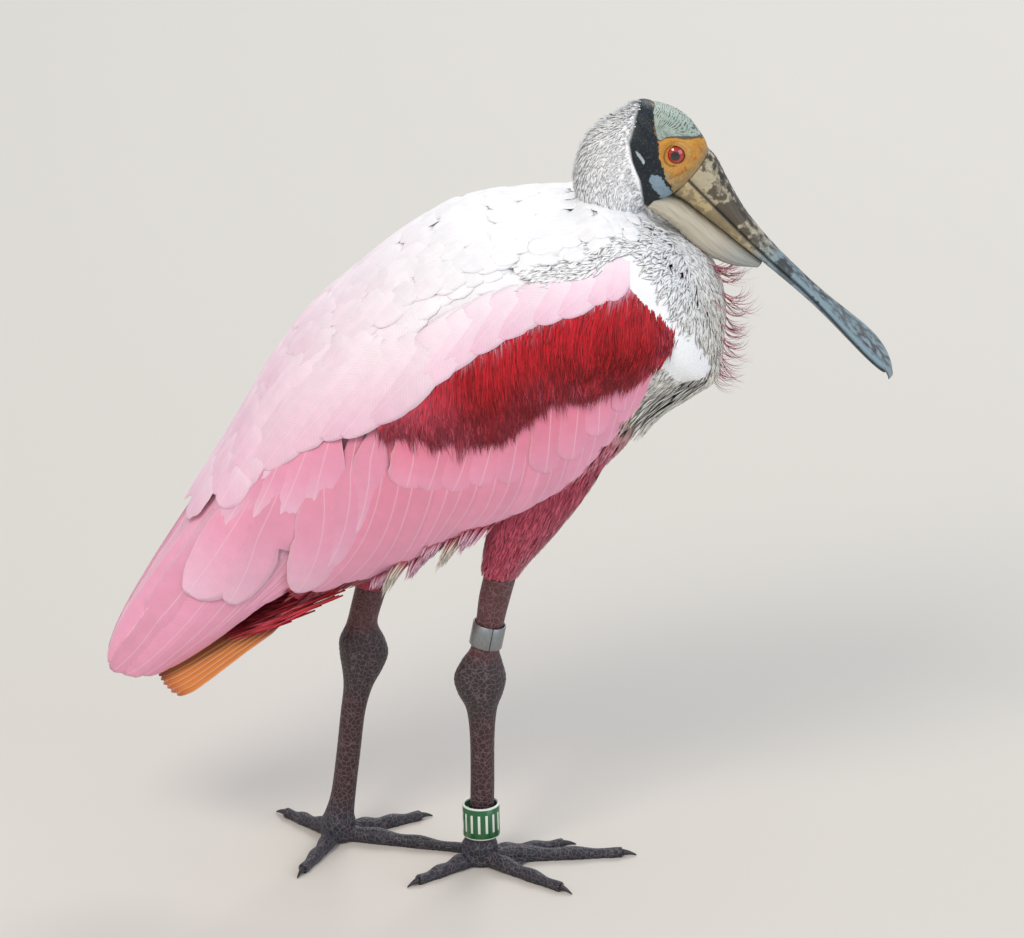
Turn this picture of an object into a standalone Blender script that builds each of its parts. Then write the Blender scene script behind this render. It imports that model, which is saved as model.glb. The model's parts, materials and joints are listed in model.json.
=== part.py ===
"""Roseate spoonbill standing still, life size, as a museum model.

The bird faces +X, its right side is towards -Y, and it stands on Z = 0.
All driving dimensions are in millimetres; MM turns them into metres.
"""

import math
import random

import bmesh
import bpy
import numpy as np
from mathutils import Matrix, Vector

MM = 0.001
GAP = 0.35
FIT_SLACK = 0.1
SEED = 11
SHARP_ANGLE = math.radians(40)

# The trunk and folded wings lie along one slanting axis, from the chest down to the tail.
AXIS_FRONT = (91.1, 335.2)
AXIS_SLOPE = math.radians(33.6)
SECTION_POWER = 2.3

# Station along the axis, ridge offset, height above it, depth below it, half width.
OUTLINE = (
    (-40, 32, 14, 24, 20),
    (-30, 31, 37, 52, 46),
    (-12, 30, 60, 75, 60),
    (0, 27, 66, 73, 66),
    (28, 31, 77, 77, 73),
    (60, 36, 86, 92, 77),
    (95, 36, 88, 98, 78),
    (130, 37, 84, 96, 75),
    (165, 38, 77, 90, 69),
    (200, 36, 67, 86, 61),
    (235, 32, 53, 76, 52),
    (270, 27, 41, 64, 43),
    (305, 20, 31, 54, 34),
    (340, 12, 21, 42, 26),
    (370, 3, 13, 30, 17),
    (388, -3, 5, 16, 9),
)

# Head frame: the origin is between the eyes, p runs along the bill, q points to the crown.
EYE_PLACE = (99.4, 444.6)
BILL_SLOPE = math.radians(46.4)
EYE_RADIUS = 7.2
EYE_SIDE = 10.9
SOCKET_RADIUS = 7.6
LID_RADIUS = 6.9
LID_THICK = 1.1
LID_STEPS = 16
LID_SIDES = 6
LID_OUT = 4.2
LID_RISE = 1.5
EYE_SEGMENTS = 16

# How the coat thins out: to what share, from which station and over what length.
COAT_TIP_SHARE = 0.3
COAT_THINS_FROM = 230.0
COAT_THINS_OVER = 140.0
LEAST_REACH = 0.5


def lerp(a, b, f):
    return a + (b - a) * f


def smooth(f):
    f = min(max(f, 0.0), 1.0)
    return f * f * (3 - 2 * f)


def step(value, span):
    """A soft step from 0 at the span's start to 1 at its end."""
    return smooth((value - span[0]) / (span[1] - span[0]))


def table_at(rows, key):
    """Smooth interpolation between the rows of a table whose first column is the key."""
    keys = [row[0] for row in rows]
    if key <= keys[0]:
        return list(rows[0][1:])
    if key >= keys[-1]:
        return list(rows[-1][1:])
    i = max(j for j in range(len(rows) - 1) if keys[j] <= key)
    span = keys[i + 1] - keys[i]
    f = (key - keys[i]) / span
    before, after = max(i - 1, 0), min(i + 2, len(rows) - 1)
    values = []
    for column in range(1, len(rows[0])):
        start, end = rows[i][column], rows[i + 1][column]
        slope_in = (end - rows[before][column]) / (keys[i + 1] - keys[before]) * span
        slope_out = (rows[after][column] - start) / (keys[after] - keys[i]) * span
        values.append(
            (2 * f**3 - 3 * f**2 + 1) * start
            + (f**3 - 2 * f**2 + f) * slope_in
            + (3 * f**2 - 2 * f**3) * end
            + (f**3 - f**2) * slope_out
        )
    return values


def axis_point(s, t, y):
    """A point at distance s along the trunk's axis and t above it."""
    x = AXIS_FRONT[0] - math.cos(AXIS_SLOPE) * s - math.sin(AXIS_SLOPE) * t
    z = AXIS_FRONT[1] - math.sin(AXIS_SLOPE) * s + math.cos(AXIS_SLOPE) * t
    return np.array((x, y, z))


def coat_depth(s):
    """The coat's layers thin out towards the wing tips."""
    return lerp(1.0, COAT_TIP_SHARE, smooth((s - COAT_THINS_FROM) / COAT_THINS_OVER))


def coat_point(s, phi, lift=0.0):
    """A point of the bird's outer form: phi is 0 on the back, 90 on the right flank, 180 below."""
    ridge, up, down, side = table_at(OUTLINE, s)
    turn = math.radians(phi)
    rise, out = math.cos(turn), math.sin(turn)
    lift *= coat_depth(s)
    reach = (up if rise >= 0 else down) + lift
    t = ridge + math.copysign(abs(rise) ** (2 / SECTION_POWER), rise) * max(reach, LEAST_REACH)
    y = -math.copysign(abs(out) ** (2 / SECTION_POWER), out) * max(side + lift, LEAST_REACH)
    return axis_point(s, t, y)


def head_point(p, q, y=0.0):
    cos, sin = math.cos(BILL_SLOPE), math.sin(BILL_SLOPE)
    return np.array((EYE_PLACE[0] + cos * p + sin * q, y, EYE_PLACE[1] - sin * p + cos * q))


def new_object(name, points, faces):
    mesh = bpy.data.meshes.new(name)
    mesh.from_pydata([tuple(point) for point in np.asarray(points) * MM], [], faces)
    return bpy.data.objects.new(name, mesh)


def rebuild(obj, edit):
    """Runs one bmesh edit on the object's mesh and turns its faces outwards."""
    bm = bmesh.new()
    bm.from_mesh(obj.data)
    edit(bm)
    bmesh.ops.recalc_face_normals(bm, faces=bm.faces)
    bm.to_mesh(obj.data)
    bm.free()
    return obj


def mirrored_loft(name, half_rings):
    """A closed body from open half rings that run from the midline round the right side to it."""
    rings = np.asarray(half_rings, dtype=float)
    count, size = rings.shape[:2]
    rings[:, (0, -1), 1] = 0.0
    faces = [tuple(range(size)), tuple((count - 1) * size + i for i in range(size))]
    for row in range(count - 1):
        for i in range(size - 1):
            a, b = row * size + i, (row + 1) * size + i
            faces.append((a, a + 1, b + 1))
            faces.append((a, b + 1, b))

    def mirror(bm):
        geometry = bm.verts[:] + bm.edges[:] + bm.faces[:]
        bmesh.ops.mirror(bm, geom=geometry, axis="Y", merge_dist=1e-6)
        bmesh.ops.remove_doubles(bm, verts=bm.verts, dist=2e-6)

    return rebuild(new_object(name, rings.reshape(-1, 3), faces), mirror)


def loft(name, rings):
    """A closed body through closed rings of like size, with a flat cap at each end."""
    rings = np.asarray(rings, dtype=float)
    count, size = rings.shape[:2]
    faces = [tuple(range(size)), tuple((count - 1) * size + i for i in range(size))]
    for row in range(count - 1):
        for i in range(size):
            j = (i + 1) % size
            a, b = row * size, (row + 1) * size
            faces.append((a + i, a + j, b + j))
            faces.append((a + i, b + j, b + i))
    return rebuild(new_object(name, rings.reshape(-1, 3), faces), lambda bm: None)


def slab(name, top, under):
    """A thin closed plate between two grids of points, split into triangles alike on both faces."""
    top, under = np.asarray(top, dtype=float), np.asarray(under, dtype=float)
    rows, columns = top.shape[:2]
    below = rows * columns
    faces = []
    for row in range(rows - 1):
        for column in range(columns - 1):
            a = row * columns + column
            b = a + columns
            for face in ((a, a + 1, b + 1), (a, b + 1, b)):
                faces.append(face)
                faces.append(tuple(below + i for i in reversed(face)))
    rim = [column for column in range(columns)]
    rim += [row * columns + columns - 1 for row in range(1, rows)]
    rim += [(rows - 1) * columns + column for column in range(columns - 2, -1, -1)]
    rim += [row * columns for row in range(rows - 2, 0, -1)]
    for i, start in enumerate(rim):
        end = rim[(i + 1) % len(rim)]
        faces.append((end, start, below + start))
        faces.append((end, below + start, below + end))
    points = np.concatenate([top.reshape(-1, 3), under.reshape(-1, 3)])
    return rebuild(new_object(name, points, faces), lambda bm: None)


def tube_rings(places, sides, radii_across, radii_along=None, up=(0.0, 0.0, 1.0)):
    """Oval rings square to a path: across lies along up x path, along lies near up."""
    places = [Vector(place) for place in places]
    rings = []
    for i, place in enumerate(places):
        ahead = places[min(i + 1, len(places) - 1)] - places[max(i - 1, 0)]
        ahead.normalize()
        across = Vector(up).cross(ahead).normalized()
        upward = ahead.cross(across)
        wide = radii_across[i]
        tall = wide if radii_along is None else radii_along[i]
        ring = []
        for k in range(sides):
            turn = 2 * math.pi * k / sides
            ring.append(place + across * (wide * math.cos(turn)) + upward * (tall * math.sin(turn)))
        rings.append([tuple(point) for point in ring])
    return rings


def largest_shell(bm):
    """Keeps the closed surface with the most volume."""
    left, shells = set(bm.verts), []
    while left:
        shell, edge = set(), [left.pop()]
        while edge:
            vert = edge.pop()
            shell.add(vert)
            for link in vert.link_edges:
                other = link.other_vert(vert)
                if other in left:
                    left.discard(other)
                    edge.append(other)
        shells.append(shell)

    def size(shell):
        total = 0.0
        for face in {face for vert in shell for face in vert.link_faces}:
            corners = [vert.co for vert in face.verts]
            for i in range(1, len(corners) - 1):
                total += corners[0].dot(corners[i].cross(corners[i + 1]))
        return abs(total)

    shells.sort(key=size)
    drop = [vert for shell in shells[:-1] for vert in shell]
    bmesh.ops.delete(bm, geom=drop, context="VERTS")


def combine(base, others, operation="UNION", solver="EXACT"):
    """Joins to base, or cuts from it, every other object in one Boolean, and removes them."""
    if not others:
        return base
    scene = bpy.context.scene
    holder = bpy.data.collections.new("joined")
    scene.collection.children.link(holder)
    for other in others:
        holder.objects.link(other)
    scene.collection.objects.link(base)
    boolean = base.modifiers.new("combine", "BOOLEAN")
    boolean.operation = operation
    boolean.operand_type = "COLLECTION"
    boolean.collection = holder
    boolean.solver = solver
    bpy.context.view_layer.update()
    evaluated = base.evaluated_get(bpy.context.evaluated_depsgraph_get())
    mesh = bpy.data.meshes.new_from_object(evaluated)
    base.modifiers.clear()
    base.data = mesh
    scene.collection.objects.unlink(base)
    for other in others:
        bpy.data.objects.remove(other)
    bpy.data.collections.remove(holder)
    bm = bmesh.new()
    bm.from_mesh(base.data)
    bmesh.ops.remove_doubles(bm, verts=bm.verts, dist=1e-6)
    bmesh.ops.triangulate(bm, faces=bm.faces)
    largest_shell(bm)
    bm.to_mesh(base.data)
    bm.free()
    return base


# Trunk. Ring numbers are degrees round the coat; the wings' inner faces share them.
TRUNK_ANGLES = (0, 12, 22, 36, 50, 65, 80, 95, 110, 124, 138, 150, 160, 170, 180)
TRUNK_STATIONS = (28, 50, 75, 100, 125, 150, 175, 200, 225, 250, 270)
TRUNK_UNDER_WING = -13.0
TRUNK_FRONT_LIFT = -1.0
TRUNK_REAR_LIFT = -10.0
TRUNK_REAR_SPAN = (120, 200)
TRUNK_BACK_SPAN = (10, 34)
TRUNK_BELLY_LIFT = -2.0
TRUNK_BELLY_SPAN = (144, 170)
BACK_ENDS = 60
NECK_POWER = 2.2
TRUNK_FRONT_RINGS = (((36, 408), (117, 299), 48), ((31, 409), (107, 290), 52))

# Mid-plane points on the nape and on the throat, and the half width, of each ring of the neck.
HEAD_RINGS = (
    ((15.5, 11.9), (19.0, -22.0), 13.0),
    ((9.0, 14.8), (18.6, -25.0), 14.6),
    ((0.0, 16.4), (18.2, -27.0), 15.8),
    ((-8.0, 16.6), (17.9, -28.4), 17.2),
    ((-17.0, 14.5), (17.7, -29.6), 18.9),
    ((-26.0, 9.8), (17.6, -30.8), 19.6),
    ((-34.0, 4.0), (17.5, -32.0), 19.6),
)
NECK_RINGS = (
    ((66.0, 465.0), (84.5, 407.5), 20.5),
    ((52.5, 455.0), (81.5, 405.0), 21.5),
    ((44.5, 441.0), (80.5, 402.5), 22.0),
    ((41.0, 424.0), (83.5, 399.5), 22.5),
    ((41.8, 414.0), (93.0, 395.5), 24.0),
    ((42.0, 411.6), (106.0, 388.5), 26.5),
    ((41.5, 410.8), (118.5, 376.5), 30.0),
    ((40.7, 410.4), (127.0, 359.0), 34.0),
    ((39.5, 408.6), (129.6, 335.0), 40.0),
    ((38.0, 408.0), (125.0, 310.5), 46.0),
)
NECK_SPLIT = 4
ROUND_ANGLES = (0, 18, 36, 54, 72, 90, 108, 126, 144, 162, 180)


def trunk_lift(s, phi):
    """How far the trunk lies under the outer form: deep under the wings, shallow elsewhere."""
    back = lerp(TRUNK_FRONT_LIFT, TRUNK_REAR_LIFT, step(s, TRUNK_REAR_SPAN))
    if phi < BACK_ENDS:
        return lerp(back, TRUNK_UNDER_WING, step(phi, TRUNK_BACK_SPAN))
    return lerp(TRUNK_UNDER_WING, TRUNK_BELLY_LIFT, step(phi, TRUNK_BELLY_SPAN))


def mid_ring(high, low, width, angles):
    """Half a rounded ring between two points of the mid-plane, each given as X and Z."""
    high, low = np.array((high[0], 0.0, high[1])), np.array((low[0], 0.0, low[1]))
    centre, reach = (high + low) / 2, (high - low) / 2
    ring = []
    for angle in angles:
        rise, out = math.cos(math.radians(angle)), math.sin(math.radians(angle))
        along = math.copysign(abs(rise) ** (2 / NECK_POWER), rise)
        across = np.array((0.0, -width * abs(out) ** (2 / NECK_POWER), 0.0))
        ring.append(centre + reach * along + across)
    return ring


def shifted(ring, other, gap):
    """The ring moved by gap towards the other one, square to its own plane."""
    ring, other = np.asarray(ring), np.asarray(other)
    normal = np.cross(ring[len(ring) // 2] - ring[0], ring[-1] - ring[0])
    normal /= np.linalg.norm(normal)
    if np.dot(normal, other.mean(axis=0) - ring.mean(axis=0)) < 0:
        normal = -normal
    return ring + normal * gap


def head_ring(row, angles):
    high, low = head_point(*row[0]), head_point(*row[1])
    return mid_ring((high[0], high[2]), (low[0], low[2]), row[2], angles)


def build_trunk():
    front = [mid_ring(*NECK_RINGS[-1], TRUNK_ANGLES)]
    front += [mid_ring(*row, TRUNK_ANGLES) for row in TRUNK_FRONT_RINGS]
    rings = front + [
        [coat_point(s, phi, trunk_lift(s, phi)) for phi in TRUNK_ANGLES] for s in TRUNK_STATIONS
    ]
    return mirrored_loft("trunk", rings)


def build_neck():
    last_head = head_ring(HEAD_RINGS[-1], ROUND_ANGLES)
    rings = [last_head] + [mid_ring(*row, ROUND_ANGLES) for row in NECK_RINGS]
    upper = [shifted(rings[0], rings[1], GAP)] + rings[1 : NECK_SPLIT + 2]
    lower = [shifted(rings[NECK_SPLIT + 1], rings[NECK_SPLIT + 2], GAP)]
    lower += rings[NECK_SPLIT + 2 : -1]
    lower.append(shifted(rings[-1], rings[-2], GAP))
    return mirrored_loft("neck_upper", upper), mirrored_loft("neck_lower", lower)


# Distance along the bill, half width, culmen, gape line and lower edge, all in the head frame.
BILL = (
    (15.9, 13.0, 11.9, -6.0, -21.5),
    (22, 12.6, 11.7, -6.3, -19.6),
    (31, 12.0, 9.0, -6.6, -18.2),
    (43, 11.2, 5.0, -7.0, -17.0),
    (57, 10.4, 1.4, -7.4, -15.6),
    (72, 9.9, -0.9, -7.6, -14.0),
    (90, 9.6, -2.2, -7.3, -12.2),
    (108, 10.0, -2.6, -6.3, -10.6),
    (124, 11.8, -2.8, -5.7, -9.2),
    (138, 15.2, -2.9, -5.3, -8.3),
    (152, 19.2, -2.7, -5.0, -7.6),
    (165, 21.8, -2.2, -4.8, -7.2),
    (175, 20.6, -2.2, -4.9, -7.1),
    (182, 16.2, -3.0, -5.3, -7.2),
)
HOOK = ((186.5, 10.6, -4.2, -7.4), (190.6, 4.2, -6.8, -10.4))
LOWER_TIP = (184.0, 9.2, -6.7, -7.9)
BILL_EDGE = 0.24
BILL_POWER = 2.4
BILL_BASE = (15.9, 11.9)
LOWER_SHARE = 0.97
BILL_ANGLES = (0, 25, 50, 72, 90)
BASE_SLANT = 0.103
BASE_SLANT_FADES = 45.0
NOSTRIL = ((29.0, 7.6, 4.6), (6.0, 1.0, 0.75))

# Distance along the bill, top, lowest point and half width of the throat pouch.
POUCH = (
    (9, -27.0, -37.4, 12.0),
    (20, -20.6, -36.0, 12.2),
    (31, -18.9, -34.4, 11.4),
    (43, -17.7, -34.4, 10.4),
    (55, -16.5, -33.6, 9.4),
    (66, -15.4, -31.6, 8.4),
    (77, -14.1, -26.6, 7.2),
    (87, -13.1, -18.0, 5.2),
)
POUCH_ROUNDING = 0.8


def bill_place(p, q, y):
    """A point of the bill: rings lean with the forehead at its root and stand square further on."""
    base_p, base_q = BILL_BASE
    lean = BASE_SLANT * (base_q - q) * (1 - smooth((p - base_p) / BASE_SLANT_FADES))
    return head_point(p + lean, q, y)


def bill_ring(p, width, crest, gape):
    """Half a ring of one half of the bill: from the crest round the edge to the gape's midline."""
    ring = []
    for angle in BILL_ANGLES:
        rise = abs(math.cos(math.radians(angle))) ** (2 / BILL_POWER)
        out = math.sin(math.radians(angle)) ** (2 / BILL_POWER)
        q = gape + (crest - gape) * (BILL_EDGE + (1 - BILL_EDGE) * rise)
        ring.append(bill_place(p, q, -width * out))
    ring.append(bill_place(p, gape, -width))
    ring.append(bill_place(p, gape, -width / 2))
    ring.append(bill_place(p, gape, 0.0))
    return ring


def build_bill():
    half_gap = GAP / 2
    upper = [bill_ring(p, w, top, gape + half_gap) for p, w, top, gape, low in BILL]
    upper += [bill_ring(p, w, top, gape) for p, w, top, gape in HOOK]
    lower = [bill_ring(p, w * LOWER_SHARE, low, gape - half_gap) for p, w, top, gape, low in BILL]
    p, w, gape, low = LOWER_TIP
    lower.append(bill_ring(p, w, low, gape - half_gap))
    upper_bill = mirrored_loft("bill_upper", upper)
    (p, q, y), radii = NOSTRIL
    slits = [ellipsoid(head_point(p, q, side * y), radii) for side in (-1, 1)]
    combine(upper_bill, slits, "DIFFERENCE")
    return upper_bill, mirrored_loft("bill_lower", lower)


def ellipsoid(centre, radii, slope=BILL_SLOPE):
    bm = bmesh.new()
    bmesh.ops.create_uvsphere(bm, u_segments=8, v_segments=6, radius=MM)
    turn = Matrix.Translation(Vector(centre) * MM) @ Matrix.Rotation(slope, 4, "Y")
    bmesh.ops.transform(bm, matrix=turn @ Matrix.Diagonal((*radii, 1.0)), verts=bm.verts)
    mesh = bpy.data.meshes.new("ellipsoid")
    bm.to_mesh(mesh)
    bm.free()
    return bpy.data.objects.new("ellipsoid", mesh)


def swollen(source, amount):
    """A copy of the object grown by amount along its normals, for cutting a neighbour clear of it."""
    copy = bpy.data.objects.new("swollen", source.data.copy())
    bm = bmesh.new()
    bm.from_mesh(copy.data)
    bm.normal_update()
    for vert in bm.verts:
        vert.co += vert.normal * (amount * MM * vert.calc_shell_factor())
    bm.to_mesh(copy.data)
    bm.free()
    return copy


def build_pouch(*neighbours):
    rings = []
    for p, top, low, width in POUCH:
        ring = []
        for angle in ROUND_ANGLES:
            rise, out = math.cos(math.radians(angle)), math.sin(math.radians(angle))
            rise = math.copysign(abs(rise) ** POUCH_ROUNDING, rise)
            q = (top + low) / 2 + (top - low) / 2 * rise
            ring.append(bill_place(p, q, -width * abs(out) ** POUCH_ROUNDING))
        rings.append(ring)
    pouch = mirrored_loft("throat_pouch", rings)
    return combine(pouch, [swollen(other, GAP) for other in neighbours], "DIFFERENCE")


def eye_place(side):
    return head_point(0.0, 0.0, side * EYE_SIDE)


def build_head():
    rings = [head_ring(row, ROUND_ANGLES) for row in HEAD_RINGS]
    head = mirrored_loft("head", rings)
    lids = [lid_ring(side) for side in (-1, 1)]
    head = combine(head, lids)
    sockets = []
    for side in (-1, 1):
        sockets.append(ball("socket", eye_place(side), SOCKET_RADIUS, EYE_SEGMENTS))
    return combine(head, sockets, "DIFFERENCE")


def lid_ring(side):
    """The rim of bare skin round one eye."""
    centre = head_point(0.0, 0.0, side * (EYE_SIDE + LID_OUT))
    rings = []
    for i in range(LID_STEPS):
        turn = 2 * math.pi * i / LID_STEPS
        ahead = np.array((math.cos(turn), 0.0, math.sin(turn)))
        ring = []
        for k in range(LID_SIDES):
            bend = 2 * math.pi * k / LID_SIDES
            out = LID_RADIUS + LID_THICK * math.cos(bend)
            rise = np.array((0.0, side * (LID_RISE * math.sin(bend) - GAP), 0.0))
            ring.append(centre + ahead * out + rise)
        rings.append(ring)
    points = np.array(rings).reshape(-1, 3)
    faces = []
    for i in range(LID_STEPS):
        for k in range(LID_SIDES):
            a, b = i * LID_SIDES, (i + 1) % LID_STEPS * LID_SIDES
            after = (k + 1) % LID_SIDES
            faces.append((a + k, a + after, b + after, b + k))
    return rebuild(new_object("lid", points, faces), lambda bm: None)


def ball(name, centre, radius, segments):
    bm = bmesh.new()
    bmesh.ops.create_uvsphere(
        bm, u_segments=segments, v_segments=segments // 2, radius=radius * MM
    )
    place = Matrix.Translation(Vector(centre) * MM) @ Matrix.Rotation(math.pi / 2, 4, "X")
    bmesh.ops.transform(bm, matrix=place, verts=bm.verts)
    mesh = bpy.data.meshes.new(name)
    bm.to_mesh(mesh)
    bm.free()
    return bpy.data.objects.new(name, mesh)


# Legs. Each row is a place on the leg's line and its half width across and along the walk.
NEAR_THIGH = (
    ((30, -29, 258), 14, 27),
    ((23, -28.6, 240), 14, 25),
    ((15, -27.6, 222), 14, 21),
    ((7, -26, 205), 12.5, 16.5),
    ((0.5, -23.7, 191), 10.8, 12),
    ((-1.6, -22.7, 184), 10, 10),
)
FAR_THIGH = (
    ((-22, 20.6, 232), 12, 24),
    ((-36, 20.4, 215), 12, 22),
    ((-50, 20, 197), 11.5, 18),
    ((-63, 19.4, 181), 11, 14),
    ((-73, 18.6, 167), 10.4, 11),
    ((-76, 18.2, 161), 10, 10),
)
NEAR_SHANK = (
    ((-1.6, -22.7, 184), 9.3, 9.6),
    ((-4.8, -22, 170), 8.7, 9.2),
    ((-7.4, -21.5, 155), 8.0, 8.3),
    ((-10.4, -21, 138), 8.0, 8.3),
    ((-12.3, -20.6, 129), 10.2, 11.6),
    ((-13.3, -20.2, 119), 12.2, 14.3),
    ((-13.2, -19.9, 109), 11.0, 12.8),
    ((-12.4, -19.6, 98), 8.0, 8.9),
    ((-12.1, -19.2, 80), 6.6, 7.2),
    ((-12.0, -18.8, 50), 6.4, 7.0),
    ((-12.5, -18.4, 28), 6.6, 7.2),
    ((-13.1, -18.1, 17), 8.4, 8.6),
    ((-13.6, -18.0, 12.5), 10.0, 10.4),
    ((-13.8, -18.0, 9), 10.2, 10.6),
)
FAR_SHANK = (
    ((-76, 18.2, 161), 9.2, 9.6),
    ((-79, 17.9, 150), 8.4, 9.0),
    ((-82, 17.6, 137), 8.4, 9.0),
    ((-82, 17.4, 127), 11.2, 12.8),
    ((-81, 17.2, 118), 11.8, 13.4),
    ((-82, 17.1, 108), 9.8, 11.4),
    ((-84.6, 17.0, 96), 7.4, 8.4),
    ((-87.5, 16.9, 80), 6.6, 7.2),
    ((-90, 16.8, 56), 6.4, 7.0),
    ((-93, 16.6, 30), 6.6, 7.2),
    ((-95.4, 16.5, 17), 8.2, 8.6),
    ((-96.2, 16.5, 12.5), 9.6, 10.2),
    ((-96.5, 16.5, 9), 9.8, 10.4),
)
LEG_SIDES = 12
ANKLE_HEIGHT = 12.5

# Feet: where the toes spring from, and the tip of each toe, claw left out.
NEAR_FOOT = ((-13.9, -18.0), ((69.5, -9.4), (33.8, -60.0), (35.0, 3.6), (-49.4, -50.0)))
FAR_FOOT = ((-96.5, 16.5), ((-23.5, -3.2), (-48.4, 44.2), (-116.6, -34.0), (-126.8, 48.4)))
TOE_NAMES = ("middle", "outer", "inner", "hind")
TOE_SIDES = 8
TOE_STEPS = 6
TOE_TAPER = 0.8
TOE_SWELL = 0.09
TOE_SWELLS = 3
TOE_CENTRE = 0.94
TOE_RISE = 1.02
TOE_ROOT_RADIUS = 5.6
TOE_TIP_RADIUS = 2.7
CLAW_LENGTH = 8.0
CLAW_RADII = (2.1, 0.45)
CLAW_STEPS = 4
CLAW_SIDES = 6
CLAW_HEIGHT = 2.6
CLAW_FALL = 1.9
CLAW_NARROW = 0.8
SOLE = 0.9
ANKLE_RINGS = ((0.0, 0.86), (2.5, 1.0), (6.0, 1.0), (ANKLE_HEIGHT - GAP, 1.0))
WEB_STEPS = (0.1, 0.25, 0.36, 0.42)
WEB_LEVEL = 2.2
WEB_HALF_THICK = 0.6
WEB_DIP = 0.05


def build_leg(name, rows):
    places = [row[0] for row in rows]
    rings = tube_rings(places, LEG_SIDES, [r[1] for r in rows], [r[2] for r in rows], (1, 0, 0))
    return loft(name, rings)


def trimmed(obj, height):
    """Cuts off what lies under a level plane and closes the cut."""

    def cut(bm):
        geometry = bm.verts[:] + bm.edges[:] + bm.faces[:]
        place, up = (0, 0, height * MM), (0, 0, 1)
        bmesh.ops.bisect_plane(bm, geom=geometry, plane_co=place, plane_no=up, clear_inner=True)
        bmesh.ops.holes_fill(bm, edges=[edge for edge in bm.edges if edge.is_boundary])

    return rebuild(obj, cut)


def toe_radius(f):
    """A toe's thickness: it swells at each joint and thins towards the claw."""
    swell = 1 + TOE_SWELL * math.cos(2 * math.pi * TOE_SWELLS * f)
    return lerp(TOE_ROOT_RADIUS, TOE_TIP_RADIUS, f**TOE_TAPER) * swell


def build_toe(base, tip):
    start, end = np.array((*base, 0.0)), np.array((*tip, 0.0))
    ahead = (end - start) / np.linalg.norm(end - start)
    across = np.array((-ahead[1], ahead[0], 0.0))
    rings = []
    for i in range(TOE_STEPS + 1):
        f = i / TOE_STEPS
        radius = toe_radius(f)
        place = lerp(start, end, f)
        ring = []
        for k in range(TOE_SIDES):
            turn = 2 * math.pi * (k + 0.5) / TOE_SIDES
            z = radius * (TOE_CENTRE + TOE_RISE * math.sin(turn))
            z = 0.0 if z < SOLE else z
            ring.append(place + across * (radius * math.cos(turn)) + np.array((0, 0, z)))
        rings.append(ring)
    return loft("toe", rings)


def build_claw(name, base, tip):
    start, end = np.array((*base, 0.0)), np.array((*tip, 0.0))
    ahead = (end - start) / np.linalg.norm(end - start)
    across = np.array((-ahead[1], ahead[0], 0.0))
    rings = []
    for i in range(CLAW_STEPS + 1):
        f = i / CLAW_STEPS
        radius = lerp(*CLAW_RADII, f)
        place = end + ahead * (GAP + CLAW_LENGTH * f)
        centre = CLAW_HEIGHT - CLAW_FALL * f**2
        ring = []
        for k in range(CLAW_SIDES):
            turn = 2 * math.pi * (k + 0.5) / CLAW_SIDES
            z = max(centre + radius * math.sin(turn), 0.0)
            side = across * (radius * CLAW_NARROW * math.cos(turn))
            ring.append(place + side + np.array((0, 0, z)))
        rings.append(ring)
    return loft(name, rings)


def build_foot(name, plan, shank_row):
    """The toes, the web between the front ones and the joint that the shank stands on."""
    base, tips = plan
    toes = [build_toe(base, tip) for tip in tips]
    (x, y, z), across, along = shank_row
    rings = []
    for height, grow in ANKLE_RINGS:
        ring = []
        for k in range(LEG_SIDES):
            turn = 2 * math.pi * k / LEG_SIDES
            dx, dy = along * grow * math.cos(turn), across * grow * math.sin(turn)
            ring.append((x + dx, y + dy, height))
        rings.append(ring)
    joint = loft(name, rings)
    toes.append(build_web(base, tips[0], tips[1]))
    return combine(joint, toes)


def build_web(base, first, second):
    start = np.array((*base, WEB_LEVEL))
    rows = []
    for f in WEB_STEPS:
        a = lerp(start, np.array((*first, WEB_LEVEL)), f)
        b = lerp(start, np.array((*second, WEB_LEVEL)), f)
        dip = WEB_DIP if f == WEB_STEPS[-1] else 0.0
        middle = lerp((a + b) / 2, start, dip)
        rows.append((a, middle, b))
    half = np.array((0, 0, WEB_HALF_THICK))
    return slab("web", np.array(rows) + half, np.array(rows) - half)


# Bands: centre, turn of the axis forwards, inner radius, thickness, height.
METAL_BAND = ((-8.9, -21.25, 146.5), math.radians(10.5), 8.75, 0.95, 14.0)
GREEN_BAND = ((-12.7, -18.25, 28.2), math.radians(-1.5), 9.5, 1.3, 20.0)
BAND_STEPS = 20
BAND_EASE = 0.3


def build_band(name, plan):
    """A short tube with eased edges, turned about its own axis."""
    centre, lean, inner, thick, height = plan
    ease = thick * BAND_EASE
    outer, half = inner + thick, height / 2
    profile = (
        (inner + ease, half),
        (outer - ease, half),
        (outer, half - ease),
        (outer, ease - half),
        (outer - ease, -half),
        (inner + ease, -half),
        (inner, ease - half),
        (inner, half - ease),
    )
    bm = bmesh.new()
    verts = [bm.verts.new((x * MM, 0, z * MM)) for x, z in profile]
    edges = [bm.edges.new((verts[i - 1], verts[i])) for i in range(len(verts))]
    bmesh.ops.spin(
        bm,
        geom=verts + edges,
        cent=(0, 0, 0),
        axis=(0, 0, 1),
        angle=2 * math.pi,
        steps=BAND_STEPS,
        use_merge=True,
    )
    turn = Matrix.Translation(Vector(centre) * MM) @ Matrix.Rotation(lean, 4, "Y")
    bmesh.ops.transform(bm, matrix=turn, verts=bm.verts)
    mesh = bpy.data.meshes.new(name)
    bm.to_mesh(mesh)
    bm.free()
    return rebuild(bpy.data.objects.new(name, mesh), lambda bm: None)


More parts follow.
